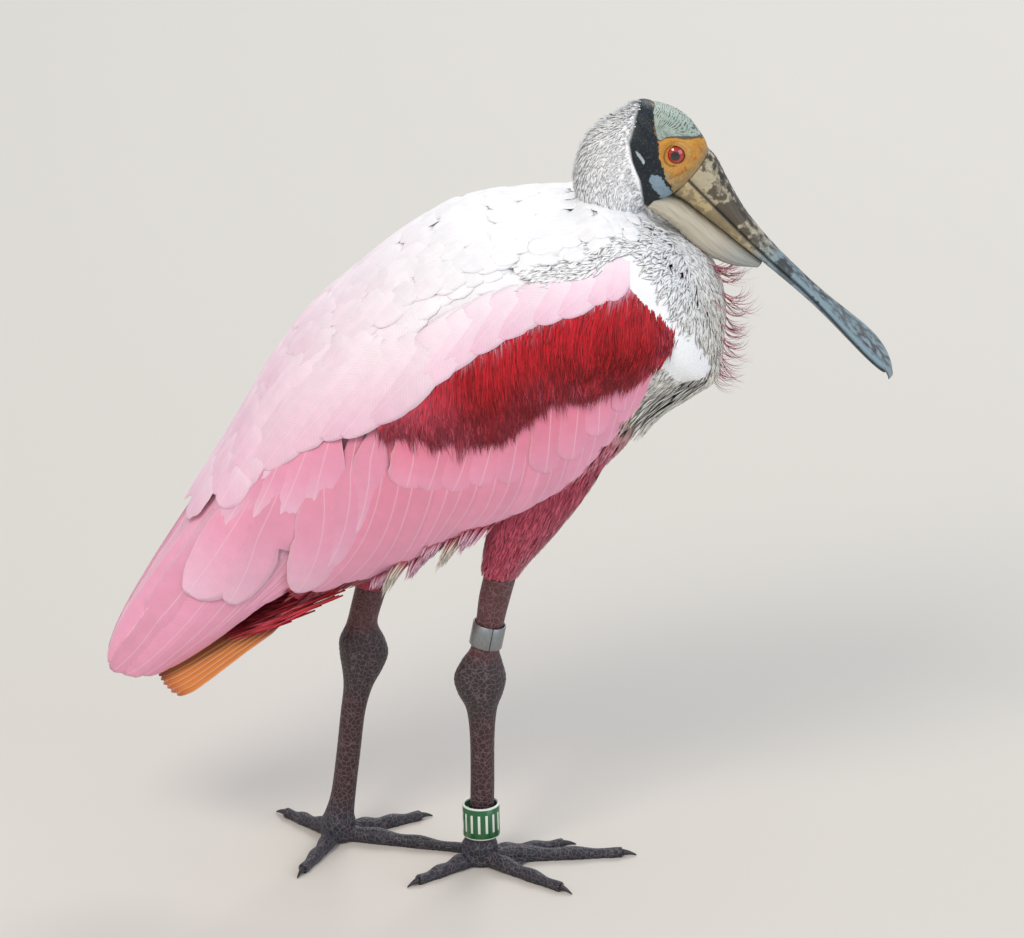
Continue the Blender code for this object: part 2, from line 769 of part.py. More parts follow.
# Tail: where it springs from the rump, its spread, and its tiers of feathers.
TAIL_ROOT = 270.0
TAIL_HALF_WIDTH = 17.0
TAIL_LEVEL = -25.5
TAIL_COUNT = 12
TAIL_TIP = 366.0
TAIL_SPREAD = 15.0
COVERT_COUNT = 5
LEAF_SIDES = (-1.0, 0.0, 1.0)
ACROSS = (0.0, 1.0, 0.0)
LEAF_TIP_SHARE = 0.65
LEAF_RIDGE = 0.25
# Station, half width and thickness of each ring of the tail's flesh, and how its section droops.
TAIL_CORE = ((TAIL_ROOT + GAP, 15, 6), (282, 16, 5), (294, 17, 3.4))
TAIL_SECTION = ((-1, -1.6), (-0.5, -0.4), (0, 0), (0.5, -0.4), (1, -1.6))
RECTRIX_STEPS = (0.0, 0.4, 0.85, 1.0)
RECTRIX_WIDTHS = (2.2, 5.2, 6.0, 2.2)
RECTRIX_ROOT = 282.0
RECTRIX_SHORTER = 9.0
RECTRIX_TURN = 1.1
RECTRIX_THICK = 0.8
COVERT_STEPS = (0.0, 0.35, 0.75, 1.0)
COVERT_WIDTHS = (3.5, 5.5, 4.6, 1.2)
COVERT_ROOT = 276.0
COVERT_TIP = 322.0
COVERT_SHORTER = 12.0
COVERT_SPREAD = (11.0, 19.0)
COVERT_THICK = 0.9


def leaf(line, side, thick, widths, tilt):
    """A vane: the line runs root to tip, side points across it, widths taper it."""
    top, under = [], []
    count = len(line)
    across = np.array(side) / np.linalg.norm(side)
    for i in range(count):
        ahead = line[min(i + 1, count - 1)] - line[max(i - 1, 0)]
        normal = np.cross(across, ahead)
        normal /= np.linalg.norm(normal)
        row = []
        for w in LEAF_SIDES:
            rise = tilt * w + (LEAF_RIDGE if w == 0.0 else 0.0)
            row.append(line[i] + across * (w * widths[i]) + normal * rise)
        thin = thick * (LEAF_TIP_SHARE if i == count - 1 else 1.0)
        top.append(row)
        under.append([point - normal * thin for point in row])
    return top, under


def build_tail_core():
    top, under = [], []
    for s, half, thick in TAIL_CORE:
        for rows, shift in ((top, thick / 2), (under, -thick / 2)):
            level = TAIL_LEVEL + shift
            rows.append([axis_point(s, level + drop, half * w) for w, drop in TAIL_SECTION])
    return slab("tail", top, under)


def build_rectrix(w):
    """One tail feather; w is its place across the tail, from -1 to 1."""
    root_y, tip_y = w * (TAIL_HALF_WIDTH - 4), w * (TAIL_HALF_WIDTH + TAIL_SPREAD * 0.7)
    line = []
    for f in RECTRIX_STEPS:
        s = lerp(RECTRIX_ROOT, TAIL_TIP - RECTRIX_SHORTER * w * w, f)
        t = TAIL_LEVEL - 1.5 * w * w - lerp(0.5, 5.5, f) * abs(w)
        line.append(axis_point(s, t + 1.3 - 0.4 * f, lerp(root_y, tip_y, f)))
    turn = RECTRIX_TURN if w < 0 else -RECTRIX_TURN
    return slab("rectrix", *leaf(line, ACROSS, RECTRIX_THICK, RECTRIX_WIDTHS, turn))


def build_covert(w):
    """One feather under the tail's root; w is its place across the tail, from -1 to 1."""
    line = []
    for f in COVERT_STEPS:
        s = lerp(COVERT_ROOT, COVERT_TIP - COVERT_SHORTER * abs(w), f)
        t = TAIL_LEVEL - lerp(1.5 + 0.9 * abs(w), 9.0 + 2.0 * abs(w), f)
        line.append(axis_point(s, t, w * lerp(*COVERT_SPREAD, f)))
    return slab("covert", *leaf(line, ACROSS, COVERT_THICK, COVERT_WIDTHS, 0.0))


def build_tail():
    pieces = [build_rectrix((i + 0.5) / TAIL_COUNT * 2 - 1) for i in range(TAIL_COUNT)]
    pieces += [build_covert(i / (COVERT_COUNT - 1) * 2 - 1) for i in range(COVERT_COUNT)]
    return combine(build_tail_core(), pieces)


# Wing. Stations and angles are shared with the trunk beneath it.
WING_FRONT = (-27, -18, -6, 10)
WING_REAR = (290, 306)
WING_ANGLES = (36, 50, 65, 80, 95, 110, 124)
WING_CORE_LIFT = -9.6
WING_REAR_LIFT = -11.4
WING_INNER_LIFT = -12.6
WING_DEEPENS = (185, 210)
WING_START = -27.0
WING_LOW_ANGLES = (96, 124)
WING_LOW_SPAN = (WING_START, 35)
WING_HIGH_ANGLES = (64, 46)
WING_HIGH_SPAN = (WING_START, 28)
WING_INNER_EASE = (16, 34)
WING_INNER_EXTRA = 1.8
WING_EDGE_DROP = 0.6


def wing_limit(s):
    """The lowest angle of the wing's flesh: it rises towards the wrist at the front."""
    return lerp(*WING_LOW_ANGLES, step(s, WING_LOW_SPAN))


def core_lift(s):
    """How far the wing's flesh lies under the outer form: deeper behind, under the long feathers."""
    return lerp(WING_CORE_LIFT, WING_REAR_LIFT, step(s, WING_DEEPENS))


def build_wing_core():
    stations = WING_FRONT + TRUNK_STATIONS + WING_REAR
    last = len(WING_ANGLES) - 1
    top, under = [], []
    for s in stations:
        low = wing_limit(s)
        high = lerp(*WING_HIGH_ANGLES, step(s, WING_HIGH_SPAN))
        gap = (GAP + FIT_SLACK) / coat_depth(s)
        inner = TRUNK_UNDER_WING + gap + WING_INNER_EXTRA * (1 - step(s, WING_INNER_EASE))
        over, beneath = [], []
        for i, angle in enumerate(WING_ANGLES):
            phi = lerp(high, low, i / last) if s < TRUNK_STATIONS[0] else angle
            at_end = s in (WING_FRONT[0], WING_REAR[-1]) or i in (0, last)
            edge = WING_EDGE_DROP if at_end else 0.0
            over.append(coat_point(s, phi, core_lift(s) - edge))
            beneath.append(coat_point(s, phi, inner))
        top.append(over)
        under.append(beneath)
    return slab("wing_right", top, under)


# Each tier: how many vanes, lift of its faces, then rows of
# place in the tier, root station and angle, tip station and angle, half width.
TIERS = {
    "primary": (4, -9.6, 1.0, (
        (0.0, 206, 110, 282, 124, 8),
        (0.35, 214, 94, 324, 134, 8),
        (0.7, 222, 80, 370, 130, 9),
        (1.0, 230, 66, 384, 88, 9),
    )),
    "secondary": (8, -7.0, 1.0, (
        (0.0, 14, 98, 40, 127, 8),
        (0.25, 50, 94, 84, 141, 11),
        (0.5, 88, 92, 140, 142, 13),
        (0.75, 128, 88, 200, 144, 14),
        (1.0, 168, 82, 258, 133, 14),
    )),
    "covert": (4, -4.4, 1.0, (
        (0.0, 150, 78, 222, 120, 11),
        (0.5, 178, 66, 264, 108, 12),
        (1.0, 196, 50, 302, 76, 13),
    )),
    "plume": (8, -4.4, 0.6, (
        (0.0, -20, 70, -8, 106, 5.5),
        (0.2, -6, 68, 27, 118, 7),
        (0.45, 24, 68, 56, 113, 8.5),
        (0.7, 62, 66, 98, 104, 9.5),
        (1.0, 108, 64, 141, 90, 10),
    )),
    "tertial": (5, -2.0, 1.1, (
        (0.0, -16, 60, 14, 74, 9),
        (0.25, 6, 56, 62, 72, 10),
        (0.5, 40, 54, 120, 69, 11),
        (0.75, 76, 52, 190, 64, 12),
        (1.0, 114, 50, 256, 40, 13),
    )),
    "scapular": (3, 0.3, 0.3, (
        (0.0, 30, 42, 108, 34, 12),
        (0.5, 68, 42, 180, 27, 13),
        (1.0, 104, 41, 252, 16, 13),
    )),
}
VANE_STEPS = (0.0, 0.26, 0.8, 1.0)
VANE_SHAPE = (0.34, 0.76, 1.0, 0.34)
VANE_THICK = 0.7
MIDLINE_ANGLE = 2.5
VANE_RIDGE = 0.2
VANE_TIP_SHARE = 0.75
VANE_RISES_BY = 0.36
VANE_ROOT_OUT = 0.3
BOWS = {"primary": 3.0, "secondary": 3.0}
BOW_ELSEWHERE = 1.0
TIP_STRAY = (2.5, 1.2)


def coat_frame(s, phi, lift):
    """The point, and how far it moves for one step of station and of angle."""
    place = coat_point(s, phi, lift)
    along = (coat_point(s + 1.0, phi, lift) - coat_point(s - 1.0, phi, lift)) / 2
    round_it = (coat_point(s, phi + 1.0, lift) - coat_point(s, phi - 1.0, lift)) / 2
    return place, along, round_it


def build_vane(name, root, tip, half_width, lift, tilt, bow):
    """One feather laid on the coat from root to tip, each given as station and angle."""
    top, under = [], []
    last = len(VANE_STEPS) - 1
    for i, f in enumerate(VANE_STEPS):
        s = lerp(root[0], tip[0], f)
        phi = lerp(root[1], tip[1], f) + bow * math.sin(math.pi * f)
        ds, dphi = tip[0] - root[0], tip[1] - root[1] + bow * math.pi * math.cos(math.pi * f)
        sunk = (core_lift(root[0]) + WING_INNER_LIFT) / 2
        height = lerp(sunk + VANE_ROOT_OUT, lift, smooth(f / VANE_RISES_BY))
        place, along, round_it = coat_frame(s, phi, height)
        ahead = along * ds + round_it * dphi
        normal = np.cross(along, round_it)
        normal /= np.linalg.norm(normal)
        if normal[1] > 0:
            normal = -normal
        across = np.cross(normal, ahead)
        across /= np.linalg.norm(across)
        basis = np.linalg.lstsq(np.stack([along, round_it], axis=1), across, rcond=None)[0]
        over, beneath = [], []
        for w in LEAF_SIDES:
            reach = w * half_width * VANE_SHAPE[i]
            rise = height + tilt * w * VANE_SHAPE[i] + (VANE_RIDGE if w == 0.0 else 0.0)
            least = MIDLINE_ANGLE * (2 + math.copysign(w, w * basis[1]))
            where = (s + basis[0] * reach, max(phi + basis[1] * reach, least))
            over.append(coat_point(*where, rise))
            thick = VANE_THICK * (VANE_TIP_SHARE if i == last else 1.0)
            beneath.append(over[-1] - normal * thick)
        top.append(over)
        under.append(beneath)
    return slab(name, top, under)


def build_wing(draw):
    core = build_wing_core()
    vanes = []
    for tier, (count, lift, tilt, rows) in TIERS.items():
        for i in range(count):
            root_s, root_phi, tip_s, tip_phi, width = table_at(rows, i / (count - 1))
            tip_s += draw.uniform(-1, 1) * TIP_STRAY[0]
            tip_phi += draw.uniform(-1, 1) * TIP_STRAY[1]
            root, tip = (root_s, root_phi), (tip_s, tip_phi)
            bow = BOWS.get(tier, BOW_ELSEWHERE)
            vanes.append(build_vane(tier, root, tip, width, lift, tilt, bow))
    return combine(core, vanes)


def mirrored_copy(source, name):
    copy = bpy.data.objects.new(name, source.data.copy())

    def flip(bm):
        bmesh.ops.scale(bm, vec=(1, -1, 1), verts=bm.verts)

    return rebuild(copy, flip)


# Breast tuft: curling plumes down the front of the lower neck.
TUFT_COUNT = 11
TUFT_WIDTHS = (2.1, 2.6, 1.55, 0.5)
TUFT_STEPS = (0.0, 0.4, 0.78, 1.0)
TUFT_LEVELS = (366, 327)
TUFT_FRONT = (118.0, 129.2)
TUFT_SIDES = (1.5, 8.0)
TUFT_LENGTHS = (17, 24)
TUFT_DROPS = (5, 14)
TUFT_ROOT_IN = 7.0
TUFT_ACROSS = (0.25, 1.0, 0.1)
TUFT_THICK = 0.8


def build_tuft(draw):
    plumes = []
    for i in range(TUFT_COUNT):
        f = i / (TUFT_COUNT - 1)
        z = lerp(*TUFT_LEVELS, f)
        front = lerp(*TUFT_FRONT, smooth(f * 2.2)) - 12.5 * max(f - 0.8, 0)
        side = (-1) ** i * draw.uniform(*TUFT_SIDES)
        length = draw.uniform(*TUFT_LENGTHS)
        drop = draw.uniform(*TUFT_DROPS)
        line = []
        for g in TUFT_STEPS:
            x = front - TUFT_ROOT_IN + (length + 3) * g
            fall = -drop * math.sin(g * math.pi * 0.75) + (g**3) * 3
            line.append(np.array((x - abs(side) * 0.25, side * (1 + 0.5 * g), z + fall)))
        plumes.append(slab("plume", *leaf(line, TUFT_ACROSS, TUFT_THICK, TUFT_WIDTHS, 0.0)))
    return plumes


# Flank tufts hang below the wings' edges, between the legs and the tail: the side they are on,
# then station and angle of each one's root and its length.
FLANK_TUFTS = (
    (-1, ((162, 151, 21), (176, 153, 25), (190, 151, 21), (204, 153, 25))),
    (1, ((112, 151, 20), (128, 153, 24))),
)
FLANK_ROOT_LIFT = -13.0
FLANK_STEPS = (0.0, 0.4, 0.75, 1.0)
FLANK_WIDTHS = (3.4, 4.6, 3.4, 1.0)
FLANK_HANG = (-0.42, 0.12, -0.9)
FLANK_THICK = 1.0


def build_flank_tufts():
    tufts = []
    for side, rows in FLANK_TUFTS:
        for s, phi, length in rows:
            root = coat_point(s, phi, FLANK_ROOT_LIFT)
            root[1] *= -side
            hang = np.array(FLANK_HANG) * (1, side, 1)
            line = [root + hang * (length * f) for f in FLANK_STEPS]
            across = (math.cos(AXIS_SLOPE), 0.0, -math.sin(AXIS_SLOPE))
            tufts.append(slab("tuft", *leaf(line, across, FLANK_THICK, FLANK_WIDTHS, 0.0)))
    return tufts


# Colour, roughness and metallic value of each finish.
FINISHES = {
    "white_down": ("#e9ebee", 0.85, 0.0),
    "pink_feather": ("#f2a3b8", 0.7, 0.0),
    "red_feather": ("#c31a2a", 0.7, 0.0),
    "orange_feather": ("#d98b5c", 0.7, 0.0),
    "bare_head": ("#a8b7a4", 0.6, 0.0),
    "pouch_skin": ("#c9cfc9", 0.6, 0.0),
    "bill_horn": ("#8b8a7c", 0.45, 0.0),
    "iris": ("#8f1d16", 0.1, 0.0),
    "leg_skin": ("#3a2428", 0.55, 0.0),
    "claw_horn": ("#1d1a1c", 0.4, 0.0),
    "steel": ("#9a9ea0", 0.3, 1.0),
    "green_plastic": ("#12703a", 0.35, 0.0),
}


def finish(name):
    material = bpy.data.materials.get(name)
    if material is None:
        colour, roughness, metallic = FINISHES[name]
        material = bpy.data.materials.new(name)
        material.use_nodes = True
        shader = material.node_tree.nodes["Principled BSDF"]
        shader.inputs["Base Color"].default_value = (*linear(colour), 1.0)
        shader.inputs["Roughness"].default_value = roughness
        shader.inputs["Metallic"].default_value = metallic
    return material


def linear(colour):
    """An sRGB colour written as #rrggbb, as linear values."""
    values = [int(colour[i : i + 2], 16) / 255 for i in (1, 3, 5)]
    return [v / 12.92 if v <= 0.04045 else ((v + 0.055) / 1.055) ** 2.4 for v in values]


def set_down(objects):
    """Moves all so that the box round them stands on the origin, centred."""
    corners = np.array([vert.co for obj in objects for vert in obj.data.vertices])
    low, high = corners.min(axis=0), corners.max(axis=0)
    shift = Vector((-(low[0] + high[0]) / 2, -(low[1] + high[1]) / 2, -low[2]))
    for obj in objects:
        obj.data.transform(Matrix.Translation(shift))


def main():
    for obj in list(bpy.data.objects):
        bpy.data.objects.remove(obj)
    draw = random.Random(SEED)
    trunk = build_trunk()
    neck_upper, neck_lower = build_neck()
    head = build_head()
    pouch = build_pouch(head, neck_upper, neck_lower)
    bill_upper, bill_lower = build_bill()
    neck_lower = combine(neck_lower, build_tuft(draw))
    wing_right = build_wing(draw)
    torso = bpy.data.objects.new("torso", trunk.data.copy())
    parts = [
        (combine(torso, build_flank_tufts()), "pink_feather"),
        (neck_upper, "white_down"),
        (neck_lower, "white_down"),
        (head, "bare_head"),
        (pouch, "pouch_skin"),
        (bill_upper, "bill_horn"),
        (bill_lower, "bill_horn"),
        (ball("eye_right", eye_place(-1), EYE_RADIUS, EYE_SEGMENTS), "iris"),
        (ball("eye_left", eye_place(1), EYE_RADIUS, EYE_SEGMENTS), "iris"),
        (wing_right, "pink_feather"),
        (mirrored_copy(wing_right, "wing_left"), "pink_feather"),
        (build_tail(), "orange_feather"),
        (build_band("band_metal", METAL_BAND), "steel"),
        (build_band("band_green", GREEN_BAND), "green_plastic"),
    ]
    legs = (
        ("right", NEAR_THIGH, NEAR_SHANK, NEAR_FOOT),
        ("left", FAR_THIGH, FAR_SHANK, FAR_FOOT),
    )
    for side, thigh_rows, shank_rows, plan in legs:
        thigh = build_leg("thigh_" + side, thigh_rows)
        shank = build_leg("shank_" + side, shank_rows)
        shank = trimmed(shank, ANKLE_HEIGHT)
        thigh = combine(thigh, [swollen(trunk, GAP)], "DIFFERENCE")
        thigh = combine(thigh, [swollen(shank, GAP)], "DIFFERENCE")
        parts.append((thigh, "pink_feather"))
        parts.append((shank, "leg_skin"))
        parts.append((build_foot("foot_" + side, plan, shank_rows[-2]), "leg_skin"))
        for toe, tip in zip(TOE_NAMES, plan[1]):
            parts.append((build_claw(f"claw_{toe}_{side}", plan[0], tip), "claw_horn"))
    bird = bpy.data.collections.new("roseate_spoonbill")
    bpy.context.scene.collection.children.link(bird)
    for obj, look in parts:
        bird.objects.link(obj)
        obj.data.materials.clear()
        obj.data.materials.append(finish(look))
        obj.data.shade_smooth()
        obj.data.set_sharp_from_angle(angle=SHARP_ANGLE)
    set_down([obj for obj, look in parts])


if __name__ == "__main__":
    main()
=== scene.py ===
"""A roseate spoonbill standing still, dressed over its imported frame.

All sizes are in millimetres in the bird's own frame: it faces +X, its right side is towards -Y and
it stands on Z = 0. `to_row` turns them into metres in the frame's place.
"""

import json
import logging
import math
from dataclasses import dataclass, field
from enum import Enum
from typing import Callable, Iterable, Sequence

import bmesh
import bpy
import numpy as np
from mathutils import Matrix, Vector

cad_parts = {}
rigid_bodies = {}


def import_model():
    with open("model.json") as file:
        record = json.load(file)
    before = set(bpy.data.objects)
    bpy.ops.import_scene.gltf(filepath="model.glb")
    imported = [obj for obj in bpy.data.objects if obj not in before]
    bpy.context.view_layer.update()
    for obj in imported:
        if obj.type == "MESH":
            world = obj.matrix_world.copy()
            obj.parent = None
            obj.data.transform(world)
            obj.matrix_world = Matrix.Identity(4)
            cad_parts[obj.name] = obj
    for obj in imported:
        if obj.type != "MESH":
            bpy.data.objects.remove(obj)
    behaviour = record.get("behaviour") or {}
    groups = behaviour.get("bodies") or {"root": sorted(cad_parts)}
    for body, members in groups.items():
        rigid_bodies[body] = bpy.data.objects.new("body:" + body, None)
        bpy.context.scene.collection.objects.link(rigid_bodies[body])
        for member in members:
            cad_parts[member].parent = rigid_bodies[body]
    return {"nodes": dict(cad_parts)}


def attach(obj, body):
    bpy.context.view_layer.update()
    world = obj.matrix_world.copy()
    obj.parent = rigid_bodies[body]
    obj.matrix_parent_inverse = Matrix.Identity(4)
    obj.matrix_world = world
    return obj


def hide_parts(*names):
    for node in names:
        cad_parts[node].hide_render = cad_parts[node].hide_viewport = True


log = logging.getLogger("spoonbill")

Array = np.ndarray
Span = tuple[float, float]

SHIFT_X = 2.142
MM = 0.001
BODY = "root"


def linear(colour: str) -> tuple[float, float, float, float]:
    """Turns an sRGB colour into linear values.

    Args:
        colour: The colour as #rrggbb.

    Returns:
        Red, green, blue and an alpha of one.
    """
    values = [int(colour[i : i + 2], 16) / 255 for i in (1, 3, 5)]
    made = [v / 12.92 if v <= 0.04045 else ((v + 0.055) / 1.055) ** 2.4 for v in values]
    return made[0], made[1], made[2], 1.0


def rgb(colour: str) -> Array:
    """Gives an sRGB hex colour as three linear values."""
    return np.array(linear(colour)[:3])


def blend(a: Array, b: Array, share: Array | float) -> Array:
    """Mixes colours or places by a share from 0 to 1."""
    share = np.asarray(share)[..., None]
    return a * (1 - share) + b * share


def ease(f: Array | float) -> Array:
    """Gives a soft step from 0 to 1, held at both ends."""
    f = np.clip(f, 0.0, 1.0)
    return f * f * (3 - 2 * f)


def to_row(places: Array) -> Array:
    """Turns places in millimetres in the bird's frame into metres in the frame's place."""
    return (np.asarray(places, dtype=float) + np.array((SHIFT_X, 0.0, 0.0))) * MM


def unit(vectors: Array) -> Array:
    """Scales vectors to length one."""
    length = np.linalg.norm(vectors, axis=-1, keepdims=True)
    return vectors / np.maximum(length, 1e-9)


def curve_through(keys: Sequence[float], rows: Array, at: Array) -> Array:
    """Reads a smooth curve through the rows of a table.

    Args:
        keys: The place of each row, rising.
        rows: One row of values for each key.
        at: The places to read.

    Returns:
        One row of values for each place read.
    """
    keys, rows = np.asarray(keys, dtype=float), np.asarray(rows, dtype=float)
    at = np.clip(np.asarray(at, dtype=float), keys[0], keys[-1])
    i = np.clip(np.searchsorted(keys, at, side="right") - 1, 0, len(keys) - 2)
    before, after = np.maximum(i - 1, 0), np.minimum(i + 2, len(keys) - 1)
    span = (keys[i + 1] - keys[i])[..., None]
    f = ((at - keys[i]) / (keys[i + 1] - keys[i]))[..., None]
    slope_in = (rows[i + 1] - rows[before]) / (keys[i + 1] - keys[before])[..., None] * span
    slope_out = (rows[after] - rows[i]) / (keys[after] - keys[i])[..., None] * span
    return (
        (2 * f**3 - 3 * f**2 + 1) * rows[i]
        + (f**3 - 2 * f**2 + f) * slope_in
        + (3 * f**2 - 2 * f**3) * rows[i + 1]
        + (f**3 - f**2) * slope_out
    )


def rounded(turn: Array, power: float) -> tuple[Array, Array]:
    """Gives the two reaches of a rounded section at an angle.

    Args:
        turn: Degrees round the section, 0 at its top, rising to the right side.
        power: How square the section is; 2 is an oval.

    Returns:
        The reach up and the reach out to the right.
    """
    rise, out = np.cos(np.radians(turn)), np.sin(np.radians(turn))
    return (
        np.copysign(np.abs(rise) ** (2 / power), rise),
        np.copysign(np.abs(out) ** (2 / power), out),
    )


class Surface:
    """A form that feathers lie on, measured by two numbers: one along it and one round it."""

    step: tuple[float, float] = (0.5, 0.5)

    def point(self, u: Array, v: Array) -> Array:
        """Gives the places at u along the form and v round it."""
        raise NotImplementedError

    def depth(self, u: Array) -> Array:
        """Gives how deep the coat is at u, as a share of its full depth."""
        return np.ones_like(u)

    def patch(self, u: Array, v: Array) -> Array:
        """Gives each place's spot on a flat unwrap of the form, from 0 to 1 each way."""
        raise NotImplementedError

    def slopes(self, u: Array, v: Array) -> tuple[Array, Array, Array]:
        """Measures the form at a place.

        Args:
            u: Places along the form.
            v: Places round it.

        Returns:
            The move for one step of u, the move for one step of v, and the outward normal.
        """
        du, dv = self.step
        along = (self.point(u + du, v) - self.point(u - du, v)) / (2 * du)
        around = (self.point(u, v + dv) - self.point(u, v - dv)) / (2 * dv)
        return along, around, unit(np.cross(along, around))

    def place(self, u: Array, v: Array, lift: Array) -> Array:
        """Gives the places that stand off the form by a lift in millimetres."""
        normal = self.slopes(u, v)[2]
        return self.point(u, v) + normal * (lift * self.depth(u))[..., None]


@dataclass(frozen=True)
class TrunkForm(Surface):
    """The trunk with its folded wings, along one axis that slants down to the tail.

    Its measures are s, the distance along the axis, and the angle round it, 0 on the back and 90 on
    the right flank. Each row of the outline is s, the ridge line's offset, the height above it, the
    depth below it and the half width.
    """

    front: Span = (91.1, 335.2)
    slope: float = math.radians(33.6)
    power: float = 2.3
    outline: tuple = (
        (-40, 32, 14, 24, 20),
        (-30, 31, 37, 52, 46),
        (-12, 30, 60, 75, 60),
        (0, 27, 66, 73, 66),
        (28, 31, 77, 77, 73),
        (60, 36, 86, 92, 77),
        (95, 36, 88, 98, 78),
        (130, 37, 84, 96, 75),
        (165, 38, 77, 90, 69),
        (200, 36, 67, 86, 61),
        (235, 32, 53, 76, 52),
        (270, 27, 41, 64, 43),
        (305, 20, 31, 54, 34),
        (340, 12, 21, 42, 26),
        (370, 3, 13, 30, 17),
        (388, -3, 5, 16, 9),
    )

    def axis(self, s: Array, rise: Array, y: Array) -> Array:
        """Gives the places at s along the axis, a rise above it and y across."""
        x = self.front[0] - math.cos(self.slope) * s - math.sin(self.slope) * rise
        z = self.front[1] - math.sin(self.slope) * s + math.cos(self.slope) * rise
        return np.stack([x, y + 0 * x, z], axis=-1)

    def point(self, u: Array, v: Array) -> Array:
        """Gives the places at s = u and angle v."""
        table = np.array(self.outline, dtype=float)
        ridge, up, down, side = np.moveaxis(curve_through(table[:, 0], table[:, 1:], u), -1, 0)
        rise, out = rounded(v, self.power)
        reach = np.where(rise >= 0, up, down)
        return self.axis(u, ridge + rise * reach, -out * side)

    def depth(self, u: Array) -> Array:
        """Gives the coat's depth: it thins out towards the wing tips."""
        return 1.0 - 0.7 * ease((u - 230) / 140)

    def patch(self, u: Array, v: Array) -> Array:
        """Gives each place's spot on the form, cut open along the belly."""
        return np.stack([(u + 60) / 480, (v + 200) / 400], axis=-1)


@dataclass(frozen=True)
class HeadFrame:
    """The head's own frame: p runs along the bill, q to the crown, from between the eyes."""

    eye: Span = (99.4, 444.6)
    slope: float = math.radians(46.4)

    def place(self, p: Array, q: Array, y: Array | float = 0.0) -> Array:
        """Gives the places at p, q and y."""
        cos, sin = math.cos(self.slope), math.sin(self.slope)
        x = self.eye[0] + cos * p + sin * q
        z = self.eye[1] - sin * p + cos * q
        return np.stack([x, y + 0 * x, z], axis=-1)

    def measure(self, places: Array) -> tuple[Array, Array, Array]:
        """Gives p, q and y of places."""
        x, y, z = np.moveaxis(places - np.array((self.eye[0], 0.0, self.eye[1])), -1, 0)
        cos, sin = math.cos(self.slope), math.sin(self.slope)
        return cos * x - sin * z, sin * x + cos * z, y


HEAD = HeadFrame()
TRUNK = TrunkForm()


@dataclass(frozen=True)
class NeckForm(Surface):
    """The head, neck and breast as one run of rings, from the bill's root to the shoulders.

    Each ring is a point on the nape, a point on the throat and a half width. The head's rings are
    given in the head's frame and the others in X and Z.
    """

    step: tuple[float, float] = (0.02, 0.6)
    power: float = 2.2
    head_rings: tuple = (
        ((15.5, 11.9), (19.0, -22.0), 13.0),
        ((9.0, 14.8), (18.6, -25.0), 14.6),
        ((0.0, 16.4), (18.2, -27.0), 15.8),
        ((-8.0, 16.6), (17.9, -28.4), 17.2),
        ((-17.0, 14.5), (17.7, -29.6), 18.9),
        ((-26.0, 9.8), (17.6, -30.8), 19.6),
        ((-34.0, 4.0), (17.5, -32.0), 19.6),
    )
    neck_rings: tuple = (
        ((66.0, 465.0), (84.5, 407.5), 20.5),
        ((52.5, 455.0), (81.5, 405.0), 21.5),
        ((44.5, 441.0), (80.5, 402.5), 22.0),
        ((41.0, 424.0), (83.5, 399.5), 22.5),
        ((41.8, 414.0), (93.0, 395.5), 24.0),
        ((42.0, 411.6), (106.0, 388.5), 26.5),
        ((41.5, 410.8), (118.5, 376.5), 30.0),
        ((40.7, 410.4), (127.0, 359.0), 34.0),
        ((39.5, 408.6), (129.6, 335.0), 40.0),
        ((38.0, 408.0), (125.0, 310.5), 46.0),
        ((36.0, 408.0), (117.0, 299.0), 48.0),
        ((31.0, 409.0), (107.0, 290.0), 52.0),
    )
    last: float = 18.0

    def point(self, u: Array, v: Array) -> Array:
        """Gives the places at ring number u and angle v."""
        rows = []
        for high, low, width in self.head_rings:
            a, b = HEAD.place(np.array(high[0]), high[1]), HEAD.place(np.array(low[0]), low[1])
            rows.append((a[0], a[2], b[0], b[2], width))
        rows += [(*high, *low, width) for high, low, width in self.neck_rings]
        u = np.asarray(u, dtype=float)
        hx, hz, lx, lz, width = np.moveaxis(curve_through(range(len(rows)), rows, u), -1, 0)
        rise, out = rounded(v, self.power)
        x = (hx + lx) / 2 + (hx - lx) / 2 * rise
        z = (hz + lz) / 2 + (hz - lz) / 2 * rise
        return np.stack([x, -width * out, z], axis=-1)

    def patch(self, u: Array, v: Array) -> Array:
        """Gives each place's spot on the form, cut open along the throat."""
        return np.stack([(u + 1) / 20, (v + 200) / 400], axis=-1)


NECK = NeckForm()


@dataclass(frozen=True)
class TailForm(Surface):
    """The sheet that the tail's feathers lie on, measured by s and by millimetres to the right."""

    level: float = -25.5
    step: tuple[float, float] = (0.5, 0.5)

    def point(self, u: Array, v: Array) -> Array:
        """Gives the places at s = u and v to the right."""
        return TRUNK.axis(u, self.level - 0.16 * np.abs(v) - 0.004 * v * v, -v)

    def patch(self, u: Array, v: Array) -> Array:
        """Gives each place's spot on the sheet."""
        return np.stack([(u - 240) / 180, (v + 60) / 120], axis=-1)


TAIL = TailForm()


@dataclass(frozen=True)
class LimbForm(Surface):
    """A leg's part: rows of a place on its line, a half width across and one along the walk."""

    rows: tuple
    step: tuple[float, float] = (0.05, 1.0)

    def point(self, u: Array, v: Array) -> Array:
        """Gives the places at row number u and angle v, 0 in front and 90 on the left side."""
        table = [(*place, across, along) for place, across, along in self.rows]
        found = curve_through(range(len(table)), table, np.asarray(u, dtype=float))
        x, y, z, across, along = np.moveaxis(found, -1, 0)
        turn = np.radians(v)
        return np.stack([x + along * np.cos(turn), y + across * np.sin(turn), z], axis=-1)

    def patch(self, u: Array, v: Array) -> Array:
        """Gives each place's spot on the limb, cut open at its back."""
        return np.stack([(u + 1) / (len(self.rows) + 2), (v + 200) / 400], axis=-1)


